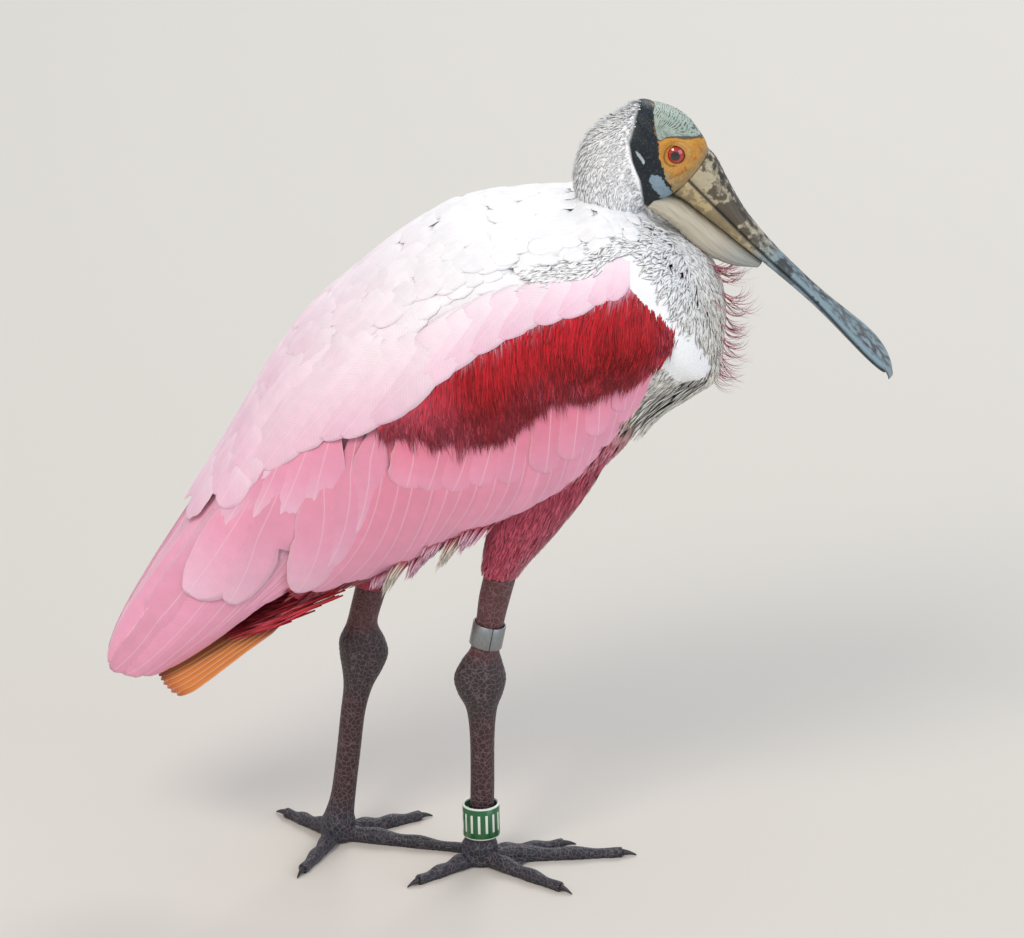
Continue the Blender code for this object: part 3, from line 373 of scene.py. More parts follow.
def make_object(name: str, bm: bmesh.types.BMesh) -> bpy.types.Object:
    """Turns a bmesh in the bird's millimetres into a smooth object in the frame's place.

    Args:
        name: The piece's name.
        bm: The mesh, whose faces are turned outwards and which is then freed.

    Returns:
        The new object, linked to the scene.
    """
    bmesh.ops.recalc_face_normals(bm, faces=bm.faces)
    place = Matrix.Scale(MM, 4) @ Matrix.Translation((SHIFT_X, 0, 0))
    bmesh.ops.transform(bm, matrix=place, verts=bm.verts)
    mesh = bpy.data.meshes.new(name)
    bm.to_mesh(mesh)
    bm.free()
    mesh.shade_smooth()
    made = bpy.data.objects.new(name, mesh)
    bpy.context.scene.collection.objects.link(made)
    return made


def lay_grid(bm: bmesh.types.BMesh, places: Array) -> None:
    """Adds a grid bent to rows of places, welded where its edges meet."""
    rows, columns = places.shape[:2]
    made = bmesh.ops.create_grid(bm, x_segments=columns - 1, y_segments=rows - 1, size=1.0)
    verts = sorted(made["verts"], key=lambda vert: (round(vert.co.y, 5), round(vert.co.x, 5)))
    for vert, place in zip(verts, places.reshape(-1, 3)):
        vert.co = place
    bmesh.ops.remove_doubles(bm, verts=verts, dist=1e-4)


def grid_form(places: Array) -> bmesh.types.BMesh:
    """Shapes a closed body from a grid of places whose columns run right round it.

    Args:
        places: Rows of rings, in order along the body; each ring's last place is its first again.

    Returns:
        The mesh with the body in it, its two ends closed.
    """
    bm = bmesh.new()
    lay_grid(bm, places)
    bmesh.ops.holes_fill(bm, edges=[edge for edge in bm.edges if edge.is_boundary])
    return bm


def evaluated_mesh(made: bpy.types.Object) -> None:
    """Applies an object's modifiers to its mesh."""
    bpy.context.view_layer.update()
    graph = bpy.context.evaluated_depsgraph_get()
    mesh = bpy.data.meshes.new_from_object(made.evaluated_get(graph))
    made.modifiers.clear()
    made.data = mesh


def point_values(made: bpy.types.Object) -> Array:
    """Gives an object's points in the bird's millimetres."""
    places = np.zeros(len(made.data.vertices) * 3)
    made.data.vertices.foreach_get("co", places)
    return places.reshape(-1, 3) / MM - np.array((SHIFT_X, 0.0, 0.0))


def set_values(made: bpy.types.Object, name: str, values: Array) -> None:
    """Stores one number, or one colour of three numbers, at each point of a mesh.

    Args:
        made: The object.
        name: The attribute's name, which its material reads.
        values: A value for each point.
    """
    values = np.asarray(values, dtype=float)
    if values.ndim == 1:
        made.data.attributes.new(name, "FLOAT", "POINT").data.foreach_set("value", values)
        return
    full = np.concatenate([values, np.ones((len(values), 1))], axis=1)
    kept = made.data.attributes.new(name, "FLOAT_COLOR", "POINT")
    kept.data.foreach_set("color", full.reshape(-1))


@dataclass(frozen=True)
class Outline:
    """How a feather's width runs from its root to its tip, as shares of its widest half width."""

    root: float = 0.35
    full_at: float = 0.5
    round_from: float = 0.62
    tip: float = 0.06

    def width(self, f: Array) -> Array:
        """Gives the width at shares f of the feather's length."""
        swell = self.root + (1 - self.root) * ease(f / self.full_at)
        past = np.clip((f - self.round_from) / (1 - self.round_from), 0, 1)
        return swell * np.maximum(np.sqrt(1 - past**2), self.tip)


BROAD = Outline(0.3, 0.5, 0.55, 0.08)
STRAP = Outline(0.45, 0.3, 0.8, 0.1)
POINTED = Outline(0.4, 0.35, 0.35, 0.05)

Shade = Callable[[Array, Array, Array, Array], Array]


@dataclass
class Coat:
    """Feathers, locks and strands gathered as arrays and joined into one mesh.

    Each one keeps three things at its points: its tint, its own measures (millimetres across and
    along it, and a draw of its own) and its share of the way out to its rim. With side at -1 what
    is added is turned over to the left side.
    """

    name: str
    draw: np.random.Generator
    points: list = field(default_factory=list)
    corners: list = field(default_factory=list)
    sizes: list = field(default_factory=list)
    tints: list = field(default_factory=list)
    measures: list = field(default_factory=list)
    rims: list = field(default_factory=list)
    patches: list = field(default_factory=list)
    lies: list = field(default_factory=list)
    count: int = 0
    side: int = 1

    def gather(
        self,
        places: Array,
        faces: Array,
        tint: Array,
        measure: Array,
        rim: Array,
        patch: Array,
        lie: Array,
    ) -> None:
        """Adds like pieces whose points and faces are numbered alike.

        Args:
            places: The points of each piece, pieces by points by three.
            faces: One piece's faces, as point numbers.
            tint: A colour for each point.
            measure: The feather's own measures at each point.
            rim: The share of the way to the rim at each point.
            patch: The spot on the form's unwrap at each point.
            lie: The outward direction of the form under each point.
        """
        pieces, size = places.shape[:2]
        if self.side < 0:
            places, faces = places * np.array((1.0, -1.0, 1.0)), faces[:, ::-1]
            lie = lie * np.array((1.0, -1.0, 1.0))
            patch = np.stack([patch[..., 0], 1 - patch[..., 1]], axis=-1)
        offset = (np.arange(pieces) * size + self.count)[:, None, None]
        self.corners.append((faces[None] + offset).reshape(-1))
        self.sizes.append(np.full(pieces * len(faces), faces.shape[1]))
        self.points.append(places.reshape(-1, 3))
        self.tints.append(tint.reshape(-1, 3))
        self.measures.append(measure.reshape(-1, 3))
        self.rims.append(rim.reshape(-1))
        self.patches.append(patch.reshape(-1, 2))
        self.lies.append(np.broadcast_to(lie, (*places.shape[:2], 3)).reshape(-1, 3))
        self.count += pieces * size

    def feathers(
        self,
        form: Surface,
        root: Array,
        tip: Array,
        width: Array | float,
        shade: Shade,
        lifts: Span = (-3.0, 0.0),
        rows: int = 10,
        columns: int = 5,
        outline: Outline = BROAD,
        camber: float = 0.6,
        tilt: float = 0.0,
        bow: Array | float = 0.0,
        skew: float = 0.0,
        thick: float = 0.3,
        notch: float = 0.04,
        rise_by: float = 0.45,
        sunk: Array | float = 0.0,
    ) -> None:
        """Lays feathers on a form, each a thin closed vane with a ridge for its shaft.

        Args:
            form: The form they lie on.
            root: Where each springs from, as measures of the form.
            tip: Where each ends.
            width: Half the widest width.
            shade: Gives the colours at measures along and round the form, share of length and draw.
            lifts: How far the root and the tip stand off the form.
            rows: Steps along the feather.
            columns: Steps across it.
            outline: How the width runs.
            camber: How far the middle stands over the rims.
            tilt: How far one rim stands over the middle.
            bow: How far the middle of its line bends round the form.
            skew: The share by which one side is wider.
            thick: The vane's thickness at its shaft.
            notch: How ragged the rims are.
            rise_by: The share of the length by which it reaches the tip's lift.
            sunk: How much deeper each feather lies than the lifts say.
        """
        root, tip = np.atleast_2d(root).astype(float), np.atleast_2d(tip).astype(float)
        count = len(root)
        width = np.broadcast_to(width, (count,))[:, None]
        f = 1 - (1 - np.linspace(0, 1, rows)) ** 1.35
        u = root[:, :1] + (tip[:, :1] - root[:, :1]) * f
        bow = np.broadcast_to(bow, (count,))[:, None]
        v = root[:, 1:] + (tip[:, 1:] - root[:, 1:]) * f + bow * np.sin(math.pi * f)
        base = form.point(u, v)
        along, around, normal = form.slopes(u, v)
        ahead = unit(np.gradient(base, axis=1))
        across = unit(np.cross(normal, ahead))
        a, b, c = (along**2).sum(-1), (along * around).sum(-1), (around**2).sum(-1)
        r, q = (along * across).sum(-1), (around * across).sum(-1)
        det = np.maximum(a * c - b * b, 1e-9)
        move_u, move_v = (c * r - b * q) / det, (a * q - b * r) / det
        taper = outline.width(f)[None] * width
        height = lifts[0] + (lifts[1] - lifts[0]) * ease(f / rise_by)[None]
        height = height - np.broadcast_to(sunk, (count,))[:, None]
        seed = self.draw.random((count, 1))
        length = np.linalg.norm(np.diff(base, axis=1), axis=-1).sum(axis=1)[:, None]
        top, under, reach = [], [], []
        for w in np.linspace(-1, 1, columns):
            ragged = 1.0
            if abs(w) > 0.99:
                slit = (self.draw.random((count, rows)) < 0.07) * self.draw.random((count, rows))
                ragged = 1 - notch * self.draw.random((count, rows)) - 3 * notch * slit
            off = taper * w * (1 + skew * math.copysign(1, w)) * ragged
            arch = (1 - w * w) * camber + tilt * w
            crest = 0.22 if abs(w) < 0.01 else 0.0
            lift = height + (arch * taper / width) + crest
            spot = form.place(u + move_u * off, v + move_v * off, lift)
            top.append(spot)
            under.append(spot - normal * (thick * (1 - 0.75 * abs(w))))
            reach.append(off)
        places = np.stack(top + under, axis=2)
        rim = np.abs(np.linspace(-1, 1, columns))
        rim = np.broadcast_to(np.concatenate([rim, rim]), (count, rows, 2 * columns))
        off = np.stack(reach + reach, axis=2)
        far = np.broadcast_to((f * length)[..., None], off.shape)
        measure = np.stack([off, far, np.broadcast_to(seed[..., None], off.shape)], axis=-1)
        tint = shade(u, v, np.broadcast_to(f, u.shape), seed)
        tint = np.broadcast_to(tint[:, :, None, :], (*off.shape, 3))
        spot = form.patch(root[:, :1], root[:, 1:])[:, :, None, :]
        turn = np.stack([off / width[..., None], far / length[..., None] - 0.5], axis=-1)
        patch = spot + turn * np.array((0.0014, 0.003))
        faces = self.vane_faces(rows, columns)
        self.gather(
            places.reshape(count, -1, 3),
            faces,
            tint.reshape(count, -1, 3),
            measure.reshape(count, -1, 3),
            rim.reshape(count, -1),
            patch.reshape(count, -1, 2),
            np.broadcast_to(normal[:, :, None], (*off.shape, 3)).reshape(count, -1, 3),
        )

    @staticmethod
    def vane_faces(rows: int, columns: int) -> Array:
        """Gives a closed vane's faces: its top, its underside and its rim."""
        wide = 2 * columns
        faces = []
        for row in range(rows - 1):
            for k in range(columns - 1):
                a, b = row * wide + k, (row + 1) * wide + k
                faces.append((a, b, b + 1, a + 1))
                a, b = a + columns, b + columns
                faces.append((a, a + 1, b + 1, b))
            left, right = row * wide, row * wide + columns - 1
            faces.append((left, left + columns, left + wide + columns, left + wide))
            faces.append((right, right + wide, right + wide + columns, right + columns))
        for row, turned in ((0, False), (rows - 1, True)):
            for k in range(columns - 1):
                a = row * wide + k
                face = (a, a + 1, a + 1 + columns, a + columns)
                faces.append(face[::-1] if turned else face)
        return np.array(faces)

    def blades(
        self,
        line: Array,
        normal: Array,
        width: Array | float,
        shade: Array,
        patch: Array,
        thick: float = 0.35,
        blunt: float = 0.15,
    ) -> None:
        """Adds thin closed blades along lines, three-sided and drawn out to a point.

        Args:
            line: The places along each blade, blades by rows by three.
            normal: The outward direction at each place.
            width: Half the widest width.
            shade: The colour at each place.
            patch: The spot on the form's unwrap of each blade's root.
            thick: How far the ridge stands over the rims, as a share of the half width.
            blunt: The width before the point, as a share.
        """
        count, rows = line.shape[:2]
        width = np.broadcast_to(width, (count,))[:, None, None]
        f = np.linspace(0, 1, rows)
        belly = 0.55 + 0.45 * np.sin(math.pi * np.clip(f * 1.1 + 0.08, 0, 1))
        taper = belly * (1 - f**3 * (1 - blunt))
        across = unit(np.cross(normal, unit(np.gradient(line, axis=1))))
        side = across * width * taper[None, :, None]
        ridge = line + normal * (width * thick * taper[None, :, None])
        ring = np.stack([line - side, ridge, line + side], axis=2)[:, :-1]
        places = np.concatenate([ring.reshape(count, -1, 3), line[:, -1:]], axis=1)
        size = places.shape[1]
        faces = [(0, 1, 2)]
        for row in range(rows - 2):
            a, b = row * 3, row * 3 + 3
            for i, j in ((0, 1), (1, 2), (2, 0)):
                faces += [(a + i, b + i, b + j), (a + i, b + j, a + j)]
        a = (rows - 2) * 3
        faces += [(a, size - 1, a + 1), (a + 1, size - 1, a + 2), (a + 2, size - 1, a)]
        share = np.concatenate([np.repeat(f[:-1], 3), f[-1:]])
        index = np.concatenate([np.repeat(np.arange(rows - 1), 3), [rows - 1]])
        sides = np.concatenate([np.tile((-1.0, 0.0, 1.0), rows - 1), [0.0]])
        length = np.linalg.norm(np.diff(line, axis=1), axis=-1).sum(axis=1)[:, None]
        seed = np.broadcast_to(self.draw.random((count, 1)), (count, size))
        measure = np.stack([sides * width[:, 0], share * length, seed], axis=-1)
        turn = np.stack(np.broadcast_arrays(sides * 0.0014, (share - 0.5) * 0.003), axis=-1)
        self.gather(
            places,
            np.array(faces),
            shade[:, index],
            measure,
            np.broadcast_to(np.abs(sides), (count, size)),
            patch[:, None] + turn[None],
            normal[:, index],
        )

    def tufts(
        self,
        form: Surface,
        root: Array,
        tip: Array,
        width: Array | float,
        shade: Shade,
        lifts: tuple[Array | float, Array | float] = (-1.5, 0.0),
        rows: int = 4,
        sway: float = 0.0,
        thick: float = 0.35,
    ) -> None:
        """Lays thin blades on a form from their roots to their tips.

        Args:
            form: The form they lie on.
            root: Where each springs from, as measures of the form.
            tip: Where each ends.
            width: Half the widest width.
            shade: Gives the colours at measures along and round the form, share of length and draw.
            lifts: How far the root and the tip stand off the form.
            rows: Steps along the blade.
            sway: How far its line bends to one side, as a share of its length.
            thick: How far the ridge stands over the rims, as a share of the half width.
        """
        root, tip = np.atleast_2d(root).astype(float), np.atleast_2d(tip).astype(float)
        f = np.linspace(0, 1, rows)[None]
        u = root[:, :1] + (tip[:, :1] - root[:, :1]) * f
        v = root[:, 1:] + (tip[:, 1:] - root[:, 1:]) * f
        low = np.broadcast_to(lifts[0], (len(root),))[:, None]
        high = np.broadcast_to(lifts[1], (len(root),))[:, None]
        line = form.place(u, v, low + (high - low) * f)
        normal = form.slopes(u, v)[2]
        if sway:
            chord = line[:, -1:] - line[:, :1]
            bend = self.draw.normal(0, sway, (len(root), 1, 1)) * np.sin(math.pi * f)[..., None]
            line = line + np.cross(normal, chord) * bend
        seed = self.draw.random((len(root), 1))
        colours = shade(u, v, np.broadcast_to(f, u.shape), seed)
        patch = form.patch(root[:, 0], root[:, 1])
        self.blades(line, normal, width, colours, patch, thick)

    def build(self) -> bpy.types.Object:
        """Joins all that was gathered into one object with its colours and its OFBake map."""
        points = to_row(np.concatenate(self.points))
        corners = np.concatenate(self.corners).astype(np.int32)
        sizes = np.concatenate(self.sizes)
        mesh = bpy.data.meshes.new(self.name)
        mesh.vertices.add(len(points))
        mesh.vertices.foreach_set("co", points.reshape(-1))
        mesh.loops.add(len(corners))
        mesh.loops.foreach_set("vertex_index", corners)
        mesh.polygons.add(len(sizes))
        starts = np.concatenate([[0], np.cumsum(sizes)[:-1]]).astype(np.int32)
        mesh.polygons.foreach_set("loop_start", starts)
        mesh.update(calc_edges=True)
        mesh.shade_smooth()
        made = bpy.data.objects.new(self.name, mesh)
        bpy.context.scene.collection.objects.link(made)
        set_values(made, "tint", np.concatenate(self.tints))
        set_values(made, "rim", np.concatenate(self.rims))
        for name, rows in (("vane", self.measures), ("lie", self.lies)):
            kept = mesh.attributes.new(name, "FLOAT_VECTOR", "POINT")
            kept.data.foreach_set("vector", np.concatenate(rows).reshape(-1))
        layer = mesh.uv_layers.new(name="OFBake")
        layer.data.foreach_set("uv", np.concatenate(self.patches)[corners].reshape(-1))
        triangles = int((sizes - 2).sum())
        log.info("%s: %d triangles", self.name, triangles)
        return made


def scatter(
    form: Surface, u_span: Span, v_span: Span, spacing: float, draw: np.random.Generator
) -> Array:
    """Spreads places evenly over a stretch of a form.

    Args:
        form: The form.
        u_span: The stretch along it.
        v_span: The stretch round it.
        spacing: The mean distance between neighbours.
        draw: The source of chance.

    Returns:
        The places, as measures of the form.
    """
    u, v = np.meshgrid(np.linspace(*u_span, 60), np.linspace(*v_span, 60), indexing="ij")
    along, around, _ = form.slopes(u, v)
    area = np.linalg.norm(np.cross(along, around), axis=-1)
    total = area.mean() * (u_span[1] - u_span[0]) * (v_span[1] - v_span[0])
    wanted = int(total / spacing**2)
    found = np.zeros((0, 2))
    while len(found) < wanted:
        tried = draw.random((wanted, 2))
        tried = tried * (u_span[1] - u_span[0], v_span[1] - v_span[0]) + (u_span[0], v_span[0])
        along, around, _ = form.slopes(tried[:, 0], tried[:, 1])
        size = np.linalg.norm(np.cross(along, around), axis=-1)
        found = np.concatenate([found, tried[draw.random(wanted) < size / area.max()]])
    return found[:wanted]


def moved(form: Surface, places: Array, along: Array | float, around: Array | float) -> Array:
    """Moves places over a form by millimetres along it and round it."""
    du, dv, _ = form.slopes(places[:, 0], places[:, 1])
    step_u = np.linalg.norm(du, axis=-1)
    step_v = np.linalg.norm(dv, axis=-1)
    return places + np.stack([along / step_u, around / step_v], axis=-1)


def combed(
    form: Surface, root: Array, length: Array, spread: float, draw: np.random.Generator
) -> Array:
    """Gives the tips of tufts that lie along a form.

    Args:
        form: The form.
        root: Their roots, as measures of the form.
        length: How long each is.
        spread: How far they turn off the lie, in degrees.
        draw: The source of chance.

    Returns:
        The tips, as measures of the form.
    """
    turn = np.radians(draw.normal(0, spread, len(root)))
    return moved(form, root, length * np.cos(turn), length * np.sin(turn))


def varied(tone: Array, seed: Array, by: float) -> Array:
    """Makes colours lighter or darker by a draw from 0 to 1."""
    return tone * (1 + by * (2 * seed - 1))[..., None]


def round_grid(u: Array, columns: int) -> tuple[Array, Array]:
    """Gives the measures of a grid that runs right round a form."""
    return np.meshgrid(u, np.linspace(-180, 180, columns), indexing="ij")


class Plume(Enum):
    """The colours of the plumage."""

    WHITE = "#f7f7f8"
    CREAM = "#f1e9d8"
    GREY = "#9fabb5"
    BLUSH = "#f7dfe9"
    SHELL = "#f4c3d8"
    ROSE = "#f0a3bf"
    PINK = "#ea8da6"
    CORAL = "#e0607a"
    RED = "#cc0f22"
    CRIMSON = "#a50312"
    DEEP = "#7c0410"
    THIGH = "#c64a63"
    ORANGE = "#d4813c"
    RUST = "#b05a2a"

    @property
    def tone(self) -> Array:
        """The colour as three linear values."""
        return rgb(self.value)


def shaded(*stops: tuple[float, Plume], vary: float = 0.06, lean: Plume | None = None) -> Shade:
    """Makes a shade that runs along each feather.

    Args:
        stops: Shares of the feather's length with their colours, rising.
        vary: How far feathers differ in brightness.
        lean: A colour that some feathers lean to, or nothing.

    Returns:
        A function from measures, share of length and draw to colours.
    """
    keys = np.array([stop[0] for stop in stops])
    tones = np.array([stop[1].tone for stop in stops])

    def shade(u: Array, v: Array, f: Array, seed: Array) -> Array:
        found = np.stack([np.interp(f, keys, tones[:, i]) for i in range(3)], axis=-1)
        if lean is not None:
            found = blend(found, lean.tone, 0.5 * ease((seed - 0.55) / 0.4) * np.ones_like(f))
        return varied(found, seed, vary)

    return shade


def tier(rows: Sequence[Sequence[float]], count: int) -> Array:
    """Spreads feathers over a tier given by a few of them.

    Args:
        rows: Place in the tier, then the measures of feathers at that place.
        count: How many feathers the tier has.

    Returns:
        The measures of every feather.
    """
    table = np.array(rows, dtype=float)
    return curve_through(table[:, 0], table[:, 1:], np.linspace(table[0, 0], table[-1, 0], count))


@dataclass
class Wings:
    """Both folded wings: flight feathers, coverts, red plumes and drooping tertials.

    Each row of a tier gives a place in it, the root's station and angle, the tip's station and
    angle, and half the width.
    """

    primaries: tuple = (
        (0.0, 212, 100, 289, 124, 9),
        (0.2, 218, 95, 315, 126, 10),
        (0.4, 222, 90, 341, 130, 11),
        (0.6, 226, 84, 361, 134, 12),
        (0.8, 230, 72, 376, 126, 14),
        (1.0, 232, 54, 386, 98, 17),
    )
    upper_primaries: tuple = (
        (0.0, 238, 22, 356, 22, 14),
        (0.5, 236, 30, 376, 42, 15),
        (1.0, 234, 42, 386, 70, 17),
    )
    secondaries: tuple = (
        (0.0, 0, 97, 41, 134, 9),
        (0.2, 33, 93, 92, 142, 12),
        (0.4, 64, 90, 136, 144, 13),
        (0.6, 94, 88, 176, 146, 13),
        (0.8, 122, 84, 212, 145, 14),
        (1.0, 150, 78, 256, 136, 15),
    )
    greater_coverts: tuple = (
        (0.0, 8, 96, 38, 126, 9),
        (0.3, 44, 92, 84, 127, 11),
        (0.6, 84, 88, 128, 116, 12),
        (1.0, 132, 82, 168, 103, 13),
    )
    rear_coverts: tuple = (
        (0.0, 156, 76, 220, 114, 14),
        (0.25, 170, 76, 243, 122, 15),
        (0.5, 186, 70, 264, 128, 17),
        (0.75, 200, 56, 300, 108, 17),
        (1.0, 212, 48, 318, 88, 18),
    )
    upper_coverts: tuple = (
        (0.0, 178, 64, 226, 92, 13),
        (0.5, 192, 54, 250, 82, 14),
        (1.0, 206, 42, 276, 66, 15),
    )
    tertials: tuple = (
        (0.0, -26, 57, 2, 73, 9),
        (0.15, -10, 54, 30, 71, 11),
        (0.3, 12, 54, 64, 72, 12),
        (0.45, 36, 53, 104, 70, 13),
        (0.6, 58, 53, 146, 71, 14),
        (0.75, 78, 50, 176, 73, 15),
        (0.9, 92, 46, 206, 62, 16),
        (1.0, 100, 40, 236, 55, 16),
        (1.15, 106, 32, 262, 30, 16),
    )
    plume_roots: tuple = (
        (-33, 88),
        (-26, 82),
        (-16, 77),
        (7, 71),
        (28, 69),
        (67, 70),
        (111, 66),
        (148, 68),
    )
    plume_tips: tuple = (
        (-33, 92),
        (-26, 98),
        (-10, 105),
        (18, 113),
        (38, 107),
        (55, 99),
        (72, 96),
        (98, 100),
        (132, 91),
        (150, 83),
    )

    def build(self, side: int, draw: np.random.Generator) -> list[bpy.types.Object]:
        """Builds one wing's coat.

        Args:
            side: 1 for the right wing and -1 for the left.
            draw: The source of chance.

        Returns:
            The flight feathers and the red plumes.
        """
        name = "right" if side > 0 else "left"
        vanes = Coat(f"wing_feathers_{name}", draw, side=side)
        flight = shaded((0, Plume.SHELL), (0.5, Plume.ROSE), (1, Plume.ROSE), vary=0.05)
        lower = shaded((0, Plume.CORAL), (0.25, Plume.PINK), (1, Plume.ROSE), vary=0.05)
        covert = shaded((0, Plume.CORAL), (0.6, Plume.PINK), (1, Plume.ROSE), vary=0.04)
        rear = shaded((0, Plume.PINK), (0.6, Plume.ROSE), (1, Plume.SHELL), vary=0.04)
        top = shaded((0, Plume.WHITE), (0.45, Plume.BLUSH), (1, Plume.SHELL), vary=0.04)
        for rows, count, lifts, outline, shade, steps, bow, skew in (
            (self.upper_primaries, 5, (-8.0, -7.4, -5.2), STRAP, flight, 22, 0, 0),
            (self.primaries, 9, (-8.0, -6.6, -4.4), STRAP, flight, 22, 5, -0.3),
            (self.secondaries, 17, (-6.6, -5.4, -3.4), STRAP, lower, 22, 3, -0.15),
            (self.greater_coverts, 9, (-5.5, -4.4, -3.0), STRAP, covert, 14, 0, 0),
            (self.rear_coverts, 5, (-5.0, -3.2, -1.4), BROAD, rear, 18, 1, 0),
            (self.upper_coverts, 4, (-4.5, -2.4, -1.0), BROAD, rear, 18, 0, 0),
            (self.tertials, 16, (-4.0, -1.8, 0.0), BROAD, top, 20, 1, 0),
        ):
            self.add_tier(vanes, tier(rows, count), lifts, outline, shade, steps, bow, skew)
        return [vanes.build(), self.plumes(side, draw, name)]

    @staticmethod
    def add_tier(
        coat: Coat,
        rows: Array,
        lifts: tuple[float, float, float],
        outline: Outline,
        shade: Shade,
        steps: int,
        bow: float,
        skew: float,
    ) -> None:
        """Lays a tier, each feather a little over the one before.

        Args:
            coat: The coat piece that gets the feathers.
            rows: Root station and angle, tip station and angle and half width of each.
            lifts: The lift of the roots, of the first tip and of the last tip.
            outline: How the width runs.
            shade: The feathers' colours.
            steps: Rows of points along a feather.
            bow: How far a feather's line bends round the form, in degrees.
            skew: The share by which one side is wider.
        """
        count = len(rows)
        for i, row in enumerate(rows):
            over = lifts[1] + (lifts[2] - lifts[1]) * i / max(count - 1, 1)
            jitter = coat.draw.normal(0, 1, 4)
            coat.feathers(
                TRUNK,
                np.array((row[0] + jitter[0], row[1])),
                np.array((row[2] + 1.6 * jitter[1], row[3] + 0.7 * jitter[2])),
                row[4],
                shade,
                lifts=(lifts[0], over),
                rows=steps,
                columns=9,
                outline=outline,
                camber=0.9,
                tilt=-0.5,
                bow=bow + 0.6 * jitter[3],
                skew=skew,
                rise_by=0.35,
            )

    def plumes(self, side: int, draw: np.random.Generator, name: str) -> bpy.types.Object:
        """Builds the loose red plumes that hang over the wing, strand by strand in clumps."""
        coat = Coat(f"red_plumes_{name}", draw, side=side)
        top, low = np.array(self.plume_roots, dtype=float), np.array(self.plume_tips, dtype=float)
        clumps, strands = 620, 14
        s = -31 + 176 * draw.random(clumps) ** 0.95
        finger = np.round(s / 8.5) * 8.5 + 2.0 * np.sin(s * 0.9)
        start = np.interp(s, top[:, 0], top[:, 1])
        deep = draw.random(clumps) ** 0.8
        s = s + (finger - s) * 0.75 * ease((deep - 0.45) / 0.35)
        reach_s = 12 + 16 * draw.random(clumps)
        end = np.interp(s + reach_s, low[:, 0], low[:, 1])
        root_v = start + (end - start) * 0.62 * deep
        lean = 1.5 - 0.2 * ease((s + 30) / 60)
        span = np.minimum(end - root_v, 20 + 9 * draw.random(clumps))
        span *= 0.85 + 0.3 * draw.random(clumps)
        tip_s = s + span * lean * 0.85
        tip_v = root_v + span
        root = np.repeat(np.stack([s, root_v], axis=-1), strands, axis=0)
        tip = np.repeat(np.stack([tip_s, tip_v], axis=-1), strands, axis=0)
        total = len(root)
        fan = draw.normal(0, 1, (total, 2))
        root += fan * (3.6, 2.4)
        tip += fan * (1.7, 0.9) + draw.normal(0, 1, (total, 2)) * (1.1, 1.4)
        share = np.repeat(deep, strands)

        def shade(u: Array, v: Array, f: Array, seed: Array) -> Array:
            edge = np.interp(u, low[:, 0], low[:, 1]) - v
            tone = blend(Plume.RED.tone, Plume.CRIMSON.tone, ease(seed * 1.6 - 0.2) * np.ones_like(f))
            tone = blend(tone, Plume.DEEP.tone, 0.35 * ease((seed - 0.75) / 0.2) * np.ones_like(f))
            rear = ease((u - 96) / 45)
            tone = blend(tone, Plume.CORAL.tone, 0.75 * rear * (0.4 + 0.6 * seed))
            crown = ease(1 - (v - np.interp(u, top[:, 0], top[:, 1])) / 7)
            tone = blend(tone, Plume.SHELL.tone, 0.9 * crown * ease((seed - 0.15) / 0.3))
            tone = blend(tone, Plume.CORAL.tone, 0.55 * ease(1 - edge / 8) * ease((seed - 0.2) / 0.4))
            return tone

        lifts = (-3.0 + 0.5 * (1 - share), -1.9 + 0.9 * (1 - share) + 0.3 * draw.random(total))
        coat.tufts(TRUNK, root, tip, 0.5 + 0.4 * draw.random(total), shade, lifts, 5, 0.05, 0.3)
        return coat.build()


@dataclass
class Back:
    """The white and pale pink feathers of the back and mantle, laid like shingles over both sides."""

    stations: tuple = (-20, 20, 60, 110, 160, 210, 250)
    lengths: tuple = (17, 21, 27, 34, 44, 52, 46)
    half_widths: tuple = (6.0, 7.0, 8.5, 10.0, 12.0, 13.5, 12.0)
    reach: tuple = (56, 55, 54, 54, 56, 48, 16)
    overlap: float = 0.3

    def build(self, draw: np.random.Generator) -> bpy.types.Object:
        """Builds the back's coat."""
        coat = Coat("back_feathers", draw)
        s = 246.0
        row = 0
        while s > -34:
            length = np.interp(s, self.stations, self.lengths)
            wide = np.interp(s, self.stations, self.half_widths)
            reach = np.interp(s, self.stations, self.reach)
            radius = max(np.linalg.norm(TRUNK.slopes(np.array(s), np.array(10.0))[1]), 0.2)
            gap = 0.92 * wide / radius
            across = np.arange(-reach, reach + 0.1, gap) + (0.5 * gap if row % 2 else 0.0)
            places = np.stack([np.full(len(across), s), across], axis=-1)
            places += draw.normal(0, 1, places.shape) * (0.12 * length, 0.12 * gap)
            turn = np.radians(0.25 * places[:, 1] + draw.normal(0, 5, len(places)))
            tips = moved(TRUNK, places, length * np.cos(turn), length * np.sin(turn))
            lift = -0.9 + 0.5 * draw.random()
            sunk = 2.6 * ease((np.abs(places[:, 1]) - 34) / 14)
            coat.feathers(
                TRUNK,
                places,
                tips,
                wide * (0.9 + 0.2 * draw.random(len(places))),
                self.shade(ease((s - 20) / 200)),
                lifts=(-4.4, lift + 0.9),
                sunk=sunk,
                rows=12,
                columns=7,
                outline=BROAD,
                camber=0.5,
                notch=0.07,
                bow=draw.normal(0, 0.8, len(places)),
            )
            s -= length * self.overlap
            row += 1
        return coat.build()

    @staticmethod
    def shade(rear: float) -> Shade:
        """Gives the back's shade: white by the neck, pale pink towards the rump."""

        def shade(u: Array, v: Array, f: Array, seed: Array) -> Array:
            pale = blend(Plume.WHITE.tone, Plume.BLUSH.tone, 0.9 * rear * np.ones_like(f))
            full = blend(Plume.WHITE.tone, Plume.SHELL.tone, rear * np.ones_like(f))
            return varied(blend(pale, full, ease(f * 1.1)), seed, 0.04)

        return shade


